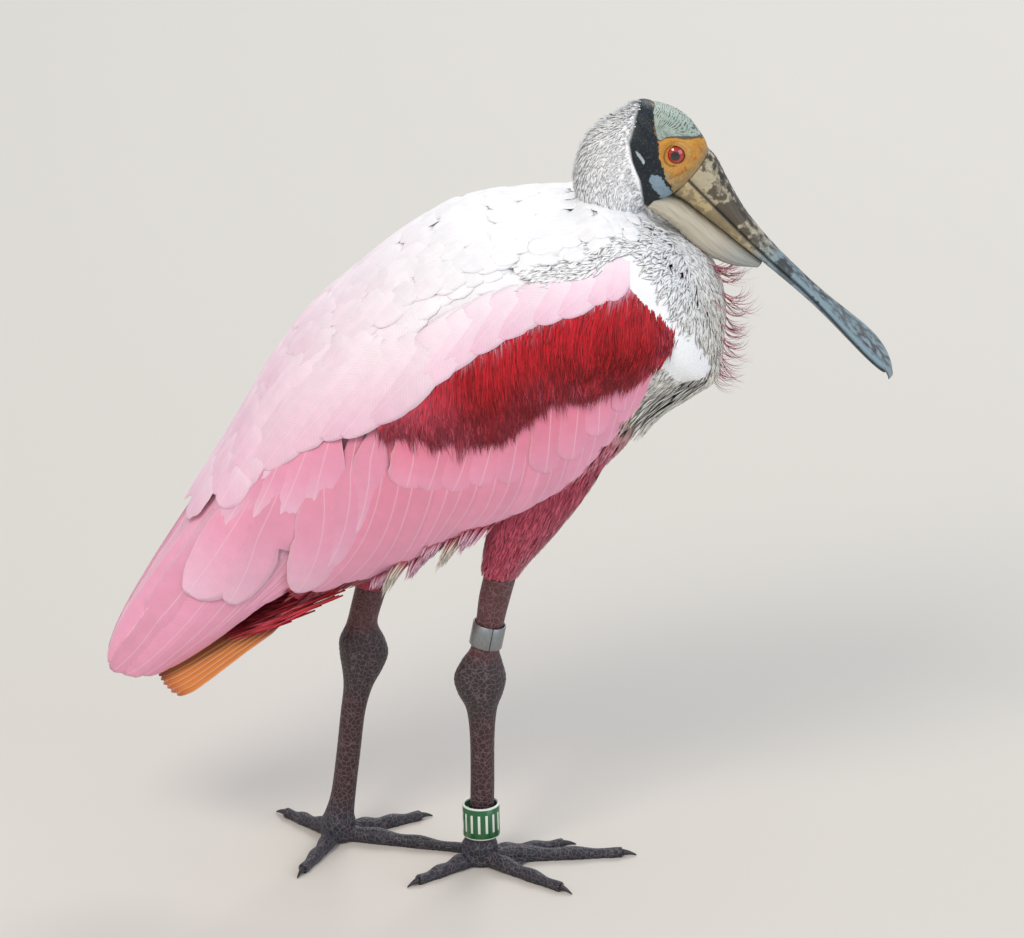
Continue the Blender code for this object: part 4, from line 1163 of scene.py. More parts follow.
@dataclass(frozen=True)
class HeadMarks:
    """Where the bare head's markings lie, as lines in the head's frame (p along the bill, q up)."""

    nape_q: tuple = (-36, -31, -24, -19.5, -13.7, -2.3, 3.9, 9.4, 16)
    nape_p: tuple = (14, 8, -2, -13, -21.8, -28.5, -32.4, -35, -36)
    band_q: tuple = (-25, -20.4, -14.9, -13.8, -9.4, -6.1, -1.1, 1.6, 7.6, 14.2, 18)
    band_p: tuple = (23, 19.7, 12.9, 6.4, -0.3, -7, -13.2, -18.3, -26.7, -30.4, -31)
    crown_p: tuple = (-32, -19, -13, -12, -7, -1, 4, 9, 14)
    crown_q: tuple = (-6, -1.5, 0.5, 3.7, 9.0, 12.5, 15.0, 16.5, 18)
    fan: Span = (-19.0, -2.0)
    patches: dict = field(
        default_factory=lambda: {
            "ear_patch": ((2.4, -18.0), (22.0, -23.7)),
            "ear_slit": ((-18.0, -13.7), (-10.0, -15.2)),
        }
    )

    @staticmethod
    def off_line(p: Array, q: Array, start: Span, end: Span) -> Array:
        """Gives the distance from a short line on the head's side."""
        run = (end[0] - start[0], end[1] - start[1])
        share = ((p - start[0]) * run[0] + (q - start[1]) * run[1]) / (run[0] ** 2 + run[1] ** 2)
        share = np.clip(share, 0, 1)
        return np.hypot(p - start[0] - share * run[0], q - start[1] - share * run[1])

    def fan_turn(self, p: Array, q: Array) -> Array:
        """Gives the direction of a place from where the crown's folds fan out, in degrees."""
        return np.degrees(np.arctan2(q - self.fan[1], p - self.fan[0]))

    def nape(self, p: Array, q: Array) -> Array:
        """Gives how far a place lies behind the bare skin, in the feathers."""
        return np.interp(q, self.nape_q, self.nape_p) - p

    def band(self, p: Array, q: Array) -> Array:
        """Gives how far a place lies within the black band."""
        return np.minimum(np.interp(q, self.band_q, self.band_p) - p, 4 - self.nape(p, q))

    def crown(self, p: Array, q: Array) -> Array:
        """Gives how far a place lies within the pale crown."""
        above = q - np.interp(p, self.crown_p, self.crown_q)
        return np.minimum(above, p - np.interp(q, self.band_q, self.band_p))


MARKS = HeadMarks()


@dataclass
class NeckCoat:
    """The fine white down of the nape, neck and breast, and the breast's curling pink plumes."""

    spacing: float = 1.5
    plume_count: int = 70

    def build(self, draw: np.random.Generator) -> list[bpy.types.Object]:
        """Builds the down of the nape and neck, that of the breast, and the curling plumes."""
        upper = Coat("neck_down", draw)
        lower = Coat("breast_down", draw)
        for side in (1, -1):
            upper.side = lower.side = side
            self.cover(upper, (2.0, 10.4), self.spacing)
            self.cover(lower, (10.0, 17.8), self.spacing * 1.3)
            self.shoulder(lower)
        return [upper.build(), lower.build(), self.curls(draw)]

    def cover(self, coat: Coat, rings: Span, spacing: float) -> None:
        """Lays down over a run of the neck's rings.

        Args:
            coat: The coat piece.
            rings: The first and last ring.
            spacing: The distance between neighbours.
        """
        root = scatter(NECK, rings, (-3, 183), spacing, coat.draw)
        places = NECK.point(root[:, 0], root[:, 1])
        p, q, _ = HEAD.measure(places)
        behind = MARKS.nape(p, q)
        root = root[(behind > -1.2) | (root[:, 0] > 7.2)]
        root = root[(root[:, 0] < 15.6) | (np.abs(root[:, 1] - 64) > 24)]
        places = NECK.point(root[:, 0], root[:, 1])
        p, q, _ = HEAD.measure(places)
        near = ease(1 - MARKS.nape(p, q) / 13) * (root[:, 0] < 7.6)
        down = ease((root[:, 0] - 6) / 6)
        length = (4.2 + 6.5 * down) * (0.75 + 0.5 * coat.draw.random(len(root)))
        tip = combed(NECK, root, length, 16, coat.draw)
        nape = ease(1 - root[:, 1] / 75) * ease((root[:, 0] - 3) / 2) * ease((11 - root[:, 0]) / 2)
        high = 0.4 + 0.35 * coat.draw.random(len(root)) + nape * 2.6 * coat.draw.random(len(root))
        width = (0.62 + 0.75 * down) * (0.8 + 0.4 * coat.draw.random(len(root)))

        def shade(u: Array, v: Array, f: Array, seed: Array) -> Array:
            low = ease((v - 96) / 60) * ease((u - 11.5) / 4)
            tone = blend(Plume.WHITE.tone, Plume.CREAM.tone, 0.75 * low)
            speck = (seed < 0.7 * near[:, None]) * ease((0.8 - f) / 0.3) * near[:, None] ** 0.6
            tone = blend(tone, rgb("#33424c"), 0.9 * speck)
            cool = (0.28 * near[:, None] + 0.07 * (seed > 0.6)) * np.ones_like(f)
            tone = blend(tone, Plume.GREY.tone, cool)
            return varied(tone, seed, 0.05)

        coat.tufts(NECK, root, tip, width, shade, (-1.2, high - 0.9), 4, 0.12, 0.25)

    @staticmethod
    def shoulder(coat: Coat) -> None:
        """Lays white down over the breast's sides and the shoulders, as far as the wings' fronts."""
        draw = coat.draw
        root = scatter(TRUNK, (-39, 34), (22, 181), 2.2, draw)
        length = 9 + 5 * draw.random(len(root))
        tip = combed(TRUNK, root, length, 12, draw)
        under = ease((root[:, 0] + 28) / 16) * ease((root[:, 1] - 56) / 8)
        under = under * ease((150 - root[:, 1]) / 14)

        def shade(u: Array, v: Array, f: Array, seed: Array) -> Array:
            low = ease((v - 86) / 60)
            tone = blend(Plume.WHITE.tone, Plume.CREAM.tone, 0.75 * low)
            tone = blend(tone, Plume.GREY.tone, 0.07 * (seed > 0.6) * np.ones_like(f))
            return varied(tone, seed, 0.05)

        high = 0.3 + 0.35 * draw.random(len(root)) - 6.5 * under
        width = 1.3 * (0.8 + 0.4 * draw.random(len(root)))
        coat.tufts(TRUNK, root, tip, width, shade, (-1.3 - 7 * under, high - 0.9), 4, 0.1, 0.22)

    def curls(self, draw: np.random.Generator) -> bpy.types.Object:
        """Builds the curling plumes, each a bundle of strands from the breast's front."""
        coat = Coat("breast_plumes", draw)
        strands = 4
        u = 12.0 + 4.4 * draw.random(self.plume_count) ** 0.9
        v = 180 + draw.normal(0, 13, self.plume_count)
        u, v = np.repeat(u, strands), np.repeat(v, strands)
        v = v + draw.normal(0, 1.2, len(v))
        root = NECK.place(u, v, np.full(len(u), -1.0))
        along, _, normal = NECK.slopes(u, v)
        down, out = unit(along), normal
        length = np.repeat(17 + 13 * draw.random(self.plume_count), strands)
        length *= 0.75 + 0.3 * draw.random(len(u))
        curl = np.repeat(0.9 + 1.5 * draw.random(self.plume_count), strands)
        curl += draw.normal(0, 0.15, len(u))
        f = np.linspace(0, 1, 9)
        turn = np.radians(78) - curl[:, None] * 1.25 * f**1.15
        step = length[:, None, None] / 8
        ahead = np.sin(turn)[..., None] * down[:, None] + np.cos(turn)[..., None] * out[:, None]
        sway = draw.normal(0, 0.16, (len(u), 1, 1)) * np.array((0.0, 1.0, 0.0)) * f[None, :, None]
        line = root[:, None] + np.cumsum((ahead + sway) * step, axis=1) - ahead[:, :1] * step
        side = np.broadcast_to(np.array((0.0, 1.0, 0.0)), line.shape)
        normal = unit(np.cross(ahead, side))
        seed = draw.random((len(u), 1)) * np.ones((1, 9))
        tone = blend(Plume.CRIMSON.tone, Plume.CORAL.tone, ease(seed * 1.4 - 0.3))
        tone = blend(tone, Plume.SHELL.tone, 0.85 * f[None] * ease((seed - 0.15) / 0.5))
        patch = NECK.patch(u, np.clip(v, -180, 180))
        coat.blades(line, normal, 0.28 + 0.14 * draw.random(len(u)), tone, patch, 0.5, 0.25)
        return coat.build()


NEAR_THIGH = LimbForm(
    (
        ((38, -27, 272), 20, 34),
        ((30, -29, 258), 17, 30),
        ((23, -28.6, 240), 16, 27),
        ((15, -27.6, 222), 15, 22.5),
        ((7, -26, 205), 13.5, 17.5),
        ((0.5, -23.7, 191), 11.6, 13),
        ((-1.6, -22.7, 184), 10.4, 10.6),
    )
)
FAR_THIGH = LimbForm(
    (
        ((-10, 21, 250), 15, 30),
        ((-22, 20.6, 232), 14, 26),
        ((-36, 20.4, 215), 13, 24),
        ((-50, 20, 197), 12.5, 19),
        ((-63, 19.4, 181), 12, 15),
        ((-73, 18.6, 167), 11, 12),
        ((-76, 18.2, 161), 10.4, 10.6),
    )
)


@dataclass
class UnderCoat:
    """The pink coat below: belly, flanks, thighs, the red undertail and the loose flank tufts."""

    def build(self, draw: np.random.Generator) -> list[bpy.types.Object]:
        """Builds the belly's, the thighs' and the undertail's coats."""
        return [self.belly(draw), self.thighs(draw), self.undertail(draw)]

    def belly(self, draw: np.random.Generator) -> bpy.types.Object:
        """Builds the belly's soft coat and the tufts that hang below the wings' edges."""
        coat = Coat("belly_down", draw)
        for side in (1, -1):
            coat.side = side
            root = scatter(TRUNK, (22, 262), (128, 182), 3.2, draw)
            length = 10 + 6 * draw.random(len(root))
            tip = combed(TRUNK, root, length, 12, draw)

            def shade(u: Array, v: Array, f: Array, seed: Array) -> Array:
                front = 1 - ease((u - 24) / 40)
                tone = blend(Plume.CORAL.tone, Plume.PINK.tone, seed * np.ones_like(f))
                tone = blend(tone, Plume.CREAM.tone, front)
                return blend(tone, Plume.CRIMSON.tone, 0.75 * ease((u - 205) / 30))

            coat.tufts(TRUNK, root, tip, 1.5, shade, (-7.5, -4.6), 4, 0.08, 0.3)
            self.flank(coat, side)
        return coat.build()

    @staticmethod
    def flank(coat: Coat, side: int) -> None:
        """Adds the loose tufts that stick out below one wing's edge."""
        draw = coat.draw
        places = ((152, 144), (164, 146), (176, 142), (188, 147), (200, 143), (212, 148))
        if side < 0:
            places = ((104, 146), (118, 144), (132, 147), (146, 144))
        for i, (s, v) in enumerate(places):
            count = 60
            fan = draw.normal(0, 1, count)
            spot = np.stack([s + fan * 3.2, v + draw.normal(0, 2.0, count)], axis=-1)
            root = TRUNK.place(spot[:, 0], spot[:, 1], np.full(count, -5.0))
            lean = np.array((-0.55, -0.25, -0.85)) + np.stack([fan * 0.1] * 3, -1) * (1, 0.2, 0.3)
            length = (15 + 5 * math.sin(i * 2.1)) * (0.7 + 0.4 * draw.random(count))
            f = np.linspace(0, 1, 5)[None, :, None]
            line = root[:, None] + unit(lean)[:, None] * length[:, None, None] * f
            line[..., 1] -= 2.0 * f[..., 0] ** 2
            normal = np.broadcast_to(np.array((0.2, -1.0, 0.1)), line.shape)
            tip = Plume.CREAM if i % 3 == 1 else Plume.SHELL
            seed = draw.random((count, 1))
            start = blend(Plume.CRIMSON.tone, Plume.CORAL.tone, 0.4 + 0.6 * (i % 2) * seed)
            tone = blend(start, tip.tone, ease(f[..., 0] * 1.2 - 0.1) * np.ones((count, 1)))
            coat.blades(line, normal, 0.8, tone, TRUNK.patch(spot[:, 0], spot[:, 1]), 0.3, 0.3)

    @staticmethod
    def thighs(draw: np.random.Generator) -> bpy.types.Object:
        """Builds the deep pink strands of both thighs."""
        coat = Coat("thigh_down", draw)
        for form in (NEAR_THIGH, FAR_THIGH):
            last = len(form.rows) - 1
            root = scatter(form, (0.1, last - 0.55), (-180, 180), 2.3, draw)
            length = 15 + 7 * draw.random(len(root))
            tip = combed(form, root, length, 9, draw)
            tip[:, 0] = np.minimum(tip[:, 0], last + 0.35 * draw.random(len(root)))

            def shade(u: Array, v: Array, f: Array, seed: Array) -> Array:
                tone = blend(Plume.THIGH.tone, Plume.CORAL.tone, 0.6 * seed * np.ones_like(f))
                front = ease(np.cos(np.radians(v)) * 0.8 + 0.1) * ease((u - 2) / 3)
                tone = blend(tone, Plume.SHELL.tone, 0.55 * front * (seed > 0.4) * f)
                return blend(tone, Plume.CRIMSON.tone, 0.5 * (seed < 0.25) * (1 - f))

            coat.tufts(form, root, tip, 0.85, shade, (-1.6, 0.5), 5, 0.06, 0.35)
        return coat.build()

    @staticmethod
    def undertail(draw: np.random.Generator) -> bpy.types.Object:
        """Builds the deep red strands under the tail's root and round the rump."""
        coat = Coat("undertail_down", draw)
        count = 900
        y = draw.normal(0, 9.5, count)
        s = 236 + 44 * draw.random(count)
        drop = -12 + 6.5 * draw.random(count)
        root = TRUNK.axis(s, -26 + 0.42 * drop - 0.1 * np.abs(y), y)
        length = 26 + 22 * draw.random(count)
        length = np.minimum(length, 326 - s - 0.5 * np.abs(y))
        f = np.linspace(0, 1, 6)[None]
        out = s[:, None] + length[:, None] * f
        fall = -26 + (0.42 - f) * drop[:, None]
        line = TRUNK.axis(out, fall - 0.1 * np.abs(y)[:, None], y[:, None] * (1 + 0.25 * f))
        line[:, 0] = root
        side = np.where(y > 0, 0.88, -0.88)
        facing = np.stack([np.full(count, -0.2), side, np.full(count, 0.42)], -1)
        normal = np.broadcast_to(facing[:, None], line.shape)
        seed = draw.random((count, 1)) * np.ones_like(f)
        tone = blend(Plume.CRIMSON.tone, Plume.RED.tone, ease(seed * 1.5 - 0.3))
        tone = blend(tone, Plume.CORAL.tone, 0.5 * f * (seed > 0.7))
        patch = TAIL.patch(s, np.clip(y, -50, 50))
        coat.blades(line, normal, 0.75, tone, patch, 0.4, 0.3)
        return coat.build()


@dataclass
class Tail:
    """Twelve tail feathers in a shallow arch, with coverts over their roots."""

    root: float = 268.0
    tip: float = 366.0
    count: int = 12
    root_spread: float = 13.0
    tip_spread: float = 27.0
    half_width: float = 8.0

    def build(self, draw: np.random.Generator) -> bpy.types.Object:
        """Builds the tail."""
        coat = Coat("tail_feathers", draw)
        shade = shaded((0, Plume.CORAL), (0.4, Plume.ORANGE), (0.9, Plume.ORANGE), (1, Plume.RUST))
        order = sorted(range(self.count), key=lambda i: -abs(i - (self.count - 1) / 2))
        for level, i in enumerate(order):
            w = (i + 0.5) / self.count * 2 - 1
            root = (self.root, w * self.root_spread)
            tip = (self.tip - 8 * w * w + draw.normal(0, 1), w * self.tip_spread)
            lifts = (-2.2 + 0.22 * level, -1.6 + 0.26 * level)
            coat.feathers(
                TAIL, root, tip, self.half_width, shade, lifts, 20, 7, STRAP, 0.5, bow=-w
            )
        shade = shaded((0, Plume.ROSE), (1, Plume.CORAL))
        for w in np.linspace(-1, 1, 9):
            root = (self.root - 14, 13 * w)
            tip = (self.root + 34 - 8 * abs(w), 20 * w)
            coat.feathers(TAIL, root, tip, 6.5, shade, (0.8, 2.6), 12, 5, BROAD, 0.5)
        return coat.build()


def solid_union(base: bpy.types.Object, others: Iterable[bpy.types.Object]) -> bpy.types.Object:
    """Joins solids into one and removes the others."""
    group = bpy.data.collections.new("joined")
    for other in others:
        bpy.context.scene.collection.objects.unlink(other)
        group.objects.link(other)
    joint = base.modifiers.new("joined", "BOOLEAN")
    joint.operation = "UNION"
    joint.operand_type = "COLLECTION"
    joint.collection = group
    joint.solver = "EXACT"
    evaluated_mesh(base)
    for other in list(group.objects):
        bpy.data.objects.remove(other)
    bpy.data.collections.remove(group)
    return base


@dataclass
class Skin:
    """The one unbroken skin of head, neck, trunk and thighs, bare on the head."""

    inset: float = 5.6
    fold_degrees: float = 9.0
    mark_reach: float = 75.0

    def build(self) -> bpy.types.Object:
        """Builds the skin with its head's relief and its markings."""
        u = np.concatenate([np.linspace(0, 7, 88)[:-1], np.linspace(7, 18, 60)])
        grid_u, grid_v = round_grid(u, 145)
        places = NECK.point(grid_u, grid_v)
        normal = NECK.slopes(grid_u, grid_v)[2]
        p, q, _ = HEAD.measure(places)
        coat = ease((MARKS.nape(p, q) + 1) / 14)
        coat = np.where(grid_u > 7, 1.0, coat)
        places = places - normal * (0.8 * coat + 0.5 * ease((grid_u - 9) / 5))[..., None]
        skin = make_object("skin", grid_form(self.head_relief(places)))
        s = np.concatenate([np.linspace(-32, 262, 74), (266.0, 269.0)])
        grid_u, grid_v = round_grid(s, 73)
        lift = -self.inset - 2.3 + 6.6 * ease((6 - grid_u) / 22)
        trunk = make_object("trunk", grid_form(TRUNK.place(grid_u, grid_v, lift)))
        thighs = [self.thigh(form) for form in (NEAR_THIGH, FAR_THIGH)]
        skin = solid_union(skin, [trunk, *thighs])
        skin.data.shade_smooth()
        self.mark(skin)
        return skin

    @staticmethod
    def thigh(form: LimbForm) -> bpy.types.Object:
        """Builds a leg's upper part."""
        grid_u, grid_v = round_grid(np.linspace(0, len(form.rows) - 1, 40), 49)
        places = form.place(grid_u, grid_v, np.full(grid_u.shape, -1.4))
        return make_object("thigh", grid_form(places))

    def head_relief(self, places: Array) -> Array:
        """Sinks the eye sockets, raises the brow and draws the head's folds."""
        p, q, y = HEAD.measure(places)
        r = np.hypot(p / 1.06, q)
        angle = np.degrees(np.arctan2(q, p))
        push = -2.6 * ease(1 - np.abs(r - 3) / 6.5)
        push = push + 0.8 * np.exp(-(((r - 9.5) / 1.8) ** 2))
        bag = np.exp(-(((r - 8.2) / 1.1) ** 2)) * ease((-angle - 35) / 25) * ease((150 + angle) / 25)
        push = push + 0.8 * bag
        brow = np.exp(-(((q - 8.6 - 0.12 * p) / 2.2) ** 2)) * ease(1 - np.abs(p + 1) / 13)
        push = push + 0.9 * brow
        crown = MARKS.crown(p, q)
        push = push + 0.5 * ease((crown + 1) / 3) - 0.45 * np.exp(-((crown / 0.9) ** 2))
        turn = np.radians(MARKS.fan_turn(p, q) * 360 / self.fold_degrees)
        push = push + 0.14 * np.sin(turn + 1.4 * np.sin(p * 0.31)) * ease(crown / 3)
        band = MARKS.band(p, q)
        push = push - 0.5 * ease(1 - np.abs(band) / 1.2)
        ear = np.exp(-(((p + 14) / 4.5) ** 2) - ((q + 14.4 - 0.19 * (p + 14)) / 1.2) ** 2)
        push = push - 1.0 * ear
        out = unit(np.stack([0 * p, q * 0.35, y], axis=-1))
        moved_q = out[..., 1] * push
        moved_y = np.where(np.abs(y) > 1.0, out[..., 2] * push, 0.0)
        keep = ease((np.abs(y) - 2.0) / 5.0)
        moved = HEAD.place(p, q + moved_q * keep, y + moved_y * keep)
        nearby = (np.hypot(p, q) < 60)[..., None]
        return np.where(nearby, moved, places)

    def mark(self, skin: bpy.types.Object) -> None:
        """Stores the head's markings at the skin's points, and a value beyond them elsewhere."""
        places = point_values(skin)
        p, q, _ = HEAD.measure(places)
        marks = {
            "nape": (np.maximum(MARKS.nape(p, q), -33.0 - q), 60.0),
            "band": (MARKS.band(p, q), -30.0),
            "crown": (MARKS.crown(p, q), -30.0),
            "eye": (np.hypot(p, q), 90.0),
            "fan": (MARKS.fan_turn(p, q), 0.0),
        }
        for name, (start, end) in MARKS.patches.items():
            marks[name] = (MARKS.off_line(p, q, start, end), 60.0)
        near = np.hypot(p, q) < self.mark_reach
        for name, (value, beyond) in marks.items():
            set_values(skin, name, np.where(near, value, beyond))
        set_values(skin, "along", p)
        set_values(skin, "up", q)
        body = TRUNK.front[0] - places[:, 0]
        tone = blend(Plume.WHITE.tone, Plume.ROSE.tone, ease((body - 60) / 140))
        tone = blend(tone, Plume.THIGH.tone, ease((255 - places[:, 2]) / 60))
        set_values(skin, "tint", tone)


@dataclass
class Lids:
    """The rings of bare skin round the eyes, with the fold and the bag below."""

    profile: tuple = (
        (5.2, -2.4),
        (5.6, -0.6),
        (5.9, 0.3),
        (6.35, 0.55),
        (6.8, 0.1),
        (7.25, 0.45),
        (7.9, 0.45),
        (8.8, -0.3),
        (9.6, -1.6),
    )
    level: float = 15.25

    def build(self) -> bpy.types.Object:
        """Builds both rings."""
        bm = bmesh.new()
        for side in (-1, 1):
            turn = np.radians(np.linspace(0, 360, 97))
            rows = []
            for r, rise in self.profile:
                below = ease((-np.sin(turn) - 0.35) / 0.5)
                above = ease((np.sin(turn) - 0.5) / 0.4)
                wide = r * (1 + 0.05 * np.cos(turn) ** 2)
                crease = 0.10 * np.sin(turn * 23 + r) * ease((r - 6.6) / 1.0)
                bulge = 0.55 * below * math.exp(-(((r - 7.7) / 0.8) ** 2)) + 0.3 * above * (r > 5.3)
                y = self.level + rise + bulge + crease
                squeeze = 1 - 0.06 * above * ease((7 - r) / 2)
                rows.append(
                    HEAD.place(wide * np.cos(turn), wide * np.sin(turn) * squeeze, side * y)
                )
            under, inner = np.array(rows[-1]), np.array(rows[0])
            under[:, 1] -= side * 3.0
            inner[:, 1] -= side * 2.0
            lay_grid(bm, np.array([*rows, under, inner, rows[0]]))
        return make_object("lids", bm)


@dataclass
class Eye:
    """One eyeball, looking straight out to its side."""

    radius: float = 7.0
    side_place: float = 10.9

    def build(self, side: int) -> bpy.types.Object:
        """Builds the eye at one side: 1 for the right and -1 for the left."""
        bm = bmesh.new()
        bmesh.ops.create_uvsphere(bm, u_segments=64, v_segments=40, radius=self.radius)
        centre = HEAD.place(np.array(0.0), 0.0, -side * self.side_place)
        turn = Matrix.Rotation(math.radians(90), 4, "X")
        place = Matrix.Translation(Vector(centre)) @ turn
        bmesh.ops.transform(bm, matrix=place, verts=bm.verts)
        made = make_object("eyeball_right" if side > 0 else "eyeball_left", bm)
        offset = point_values(made) - centre
        set_values(made, "off_axis", np.hypot(offset[:, 0], offset[:, 2]))
        set_values(made, "turned", np.degrees(np.arctan2(offset[:, 2], offset[:, 0])) / 360)
        return made


@dataclass
class Bill:
    """The flat spoon-shaped bill in two halves and the bare pouch under its root.

    Each row gives the distance along the bill, the half width, and the heights of the ridge, the
    gape and the lower edge.
    """

    rows: tuple = (
        (15.9, 13, 11.9, -6, -21.5),
        (22, 12.6, 11.7, -6.3, -19.6),
        (31, 12, 9, -6.6, -18.2),
        (43, 11.2, 5, -7, -17),
        (57, 10.4, 1.4, -7.4, -15.6),
        (72, 9.9, -0.9, -7.6, -14),
        (90, 9.6, -2.2, -7.3, -12.2),
        (108, 10, -2.6, -6.3, -10.6),
        (124, 11.8, -2.8, -5.7, -9.2),
        (138, 15.2, -2.9, -5.3, -8.3),
        (152, 19.2, -2.7, -5, -7.6),
        (165, 21.8, -2.2, -4.8, -7.2),
        (175, 20.6, -2.2, -4.9, -7.1),
        (182, 16.2, -3, -5.3, -7.2),
    )
    hook: tuple = ((186.5, 10.6, -4.2, -7.4), (190.6, 4.2, -6.8, -10.4))
    lower_tip: tuple = (184, 9.2, -6.7, -7.9)
    pouch: tuple = (
        (9, -27, -37.4, 12),
        (20, -20.6, -36, 12.2),
        (31, -18.9, -34.4, 11.4),
        (43, -17.7, -34.4, 10.4),
        (55, -16.5, -33.6, 9.4),
        (66, -15.4, -31.6, 8.4),
        (77, -14.1, -26.6, 7.2),
        (87, -13.1, -18, 5.2),
    )
    edge: float = 0.24
    gap: float = 0.35
    lean: float = 0.103

    def place(self, p: Array, q: Array, y: Array) -> Array:
        """Gives the places of the bill, whose rings lean with the forehead at its root."""
        lean = self.lean * (11.9 - q) * (1 - ease((p - 15.9) / 45))
        return HEAD.place(p + lean, q, y)

    def build(self) -> list[bpy.types.Object]:
        """Builds the upper half, the lower half and the pouch."""
        rows = np.array(self.rows, dtype=float)
        upper = np.stack([rows[:, 0], rows[:, 1], rows[:, 2], rows[:, 3] + self.gap / 2], axis=-1)
        upper = np.concatenate([upper, np.array(self.hook, dtype=float)])
        lower = np.stack(
            [rows[:, 0], rows[:, 1] * 0.97, rows[:, 4], rows[:, 3] - self.gap / 2], axis=-1
        )
        p, w, gape, low = self.lower_tip
        lower = np.concatenate([lower, np.array([(p, w, low, gape - self.gap / 2)])])
        return [self.half("upper_bill", upper), self.half("lower_bill", lower), self.sack()]

    def half(self, name: str, rows: Array) -> bpy.types.Object:
        """Builds one half of the bill from rows of length, half width, crest and gape.

        Args:
            name: The piece's name.
            rows: The rows, in order along the bill.

        Returns:
            The object, with the distance to the gape and along the bill stored.
        """
        upper = name == "upper_bill"
        p = np.concatenate([np.linspace(15.9, 176, 150)[:-1], np.linspace(176, rows[-1, 0], 26)])
        table = curve_through(rows[:, 0], rows, p)
        table[:, 0] = p
        turn = np.radians(np.linspace(-90, 90, 73))
        rise = np.abs(np.cos(turn)) ** (2 / 2.4)
        out = np.copysign(np.abs(np.sin(turn)) ** (2 / 2.4), np.sin(turn))
        along, wide, crest, gape = (table[:, i][:, None] for i in range(4))
        y = -wide * out[None]
        q = gape + (crest - gape) * (self.edge + (1 - self.edge) * rise[None])
        if upper:
            share = ease((along - 18) / 14)
            depth = 0.55 * np.exp(-(((crest - q - 2.6) / 0.7) ** 2)) * share * (rise < 0.97)
            depth = depth * (1 - ease((along - 120) / 40))
            rim = 0.35 * np.exp(-(((q - gape - 2.2) / 0.6) ** 2)) * ease((along - 30) / 30)
            rim = rim * (1 - ease((along - 150) / 20))
            y = y * (1 - (depth + rim) / np.maximum(wide, 4))
            ridges = 0.10 * np.sin(along * 1.9 + 2.2 * np.sin(along * 0.31))
            ridges = ridges * (1 - ease((along - 26) / 60))
            q = q + ridges * rise[None]
        floor_y = -wide * np.linspace(1, -1, 9)
        y_all = np.concatenate([y, floor_y], axis=1)
        q_all = np.concatenate([q, np.broadcast_to(gape, floor_y.shape)], axis=1)
        y_all = np.concatenate([y_all, y_all[:, :1]], axis=1)
        q_all = np.concatenate([q_all, q_all[:, :1]], axis=1)
        places = self.place(np.broadcast_to(along, y_all.shape), q_all, y_all)
        made = make_object(name, grid_form(places))
        self.mark(made, rows)
        if upper:
            self.nostrils(made)
        return made

    @staticmethod
    def mark(made: bpy.types.Object, rows: Array) -> None:
        """Stores the measures of the bill at its points."""
        p, q, _ = HEAD.measure(point_values(made))
        table = curve_through(rows[:, 0], rows, p)
        span = np.maximum(np.abs(table[:, 2] - table[:, 3]), 0.5)
        off = np.abs(q - table[:, 3])
        set_values(made, "along", p)
        set_values(made, "from_gape", off)
        set_values(made, "height", np.clip(off / span, 0, 1))

    @staticmethod
    def nostrils(made: bpy.types.Object) -> None:
        """Presses the two slit nostrils into the bill's root."""
        places = point_values(made)
        p, q, y = HEAD.measure(places)
        reach = ((p - 29) / 5.5) ** 2 + ((q - 7.9 + 0.13 * (p - 29)) / 1.0) ** 2
        sink = 1.1 * np.exp(-reach * 1.3) * ease((np.abs(y) - 1) / 2)
        places = HEAD.place(p, q - 0.6 * sink, y - np.sign(y) * sink)
        made.data.vertices.foreach_set("co", to_row(places).reshape(-1))

    def sack(self) -> bpy.types.Object:
        """Builds the throat pouch."""
        rows = np.array(self.pouch, dtype=float)
        p = np.linspace(9, 87, 90)
        table = curve_through(rows[:, 0], rows, p)
        turn = np.radians(np.linspace(-180, 180, 97))
        top, low, wide = (table[:, i][:, None] for i in (1, 2, 3))
        rise, out = np.cos(turn)[None], np.sin(turn)[None]
        q = (top + low) / 2 + (top - low) / 2 * np.copysign(np.abs(rise) ** 0.8, rise)
        y = -wide * np.copysign(np.abs(out) ** 0.8, out)
        fold = np.sin(turn * 15)[None] * 0.14 + np.sin(turn * 37 + p[:, None] * 0.06) * 0.07
        y = y * (1 + fold / wide)
        q = q + 0.25 * np.sin(p * 1.1)[:, None] * (rise < 0) * (1 - ease((p - 30) / 30))[:, None]
        places = self.place(np.broadcast_to(p[:, None], q.shape), q, y)
        made = make_object("pouch", grid_form(places))
        measured = HEAD.measure(point_values(made))
        set_values(made, "along", measured[0])
        set_values(made, "up", measured[1])
        return made


@dataclass(frozen=True)
class LegPlan:
    """One leg below the feathers: rows of its shank, its foot's base and its toes' tips."""

    name: str
    shank: tuple
    base: Span
    tips: dict
    bottom: float = 2.0


NEAR_LEG = LegPlan(
    "right",
    (
        ((-1.6, -22.7, 184), 9.3, 9.6),
        ((-4.8, -22, 170), 8.7, 9.2),
        ((-7.4, -21.5, 155), 8, 8.3),
        ((-10.4, -21, 138), 8, 8.3),
        ((-12.3, -20.6, 129), 10.2, 11.6),
        ((-13.3, -20.2, 119), 12.2, 14.3),
        ((-13.2, -19.9, 109), 11, 12.8),
        ((-12.4, -19.6, 98), 8, 8.9),
        ((-12.1, -19.2, 80), 6.6, 7.2),
        ((-12, -18.8, 50), 6.4, 7),
        ((-12.5, -18.4, 28), 6.6, 7.2),
        ((-13.1, -18.1, 17), 8.4, 8.6),
        ((-13.6, -18, 12.5), 10, 10.4),
        ((-13.8, -18, 9), 10.2, 10.6),
    ),
    (-13.9, -18.0),
    {"middle": (69.5, -9.4), "outer": (33.8, -60), "inner": (35, 3.6), "hind": (-49.4, -50)},
)
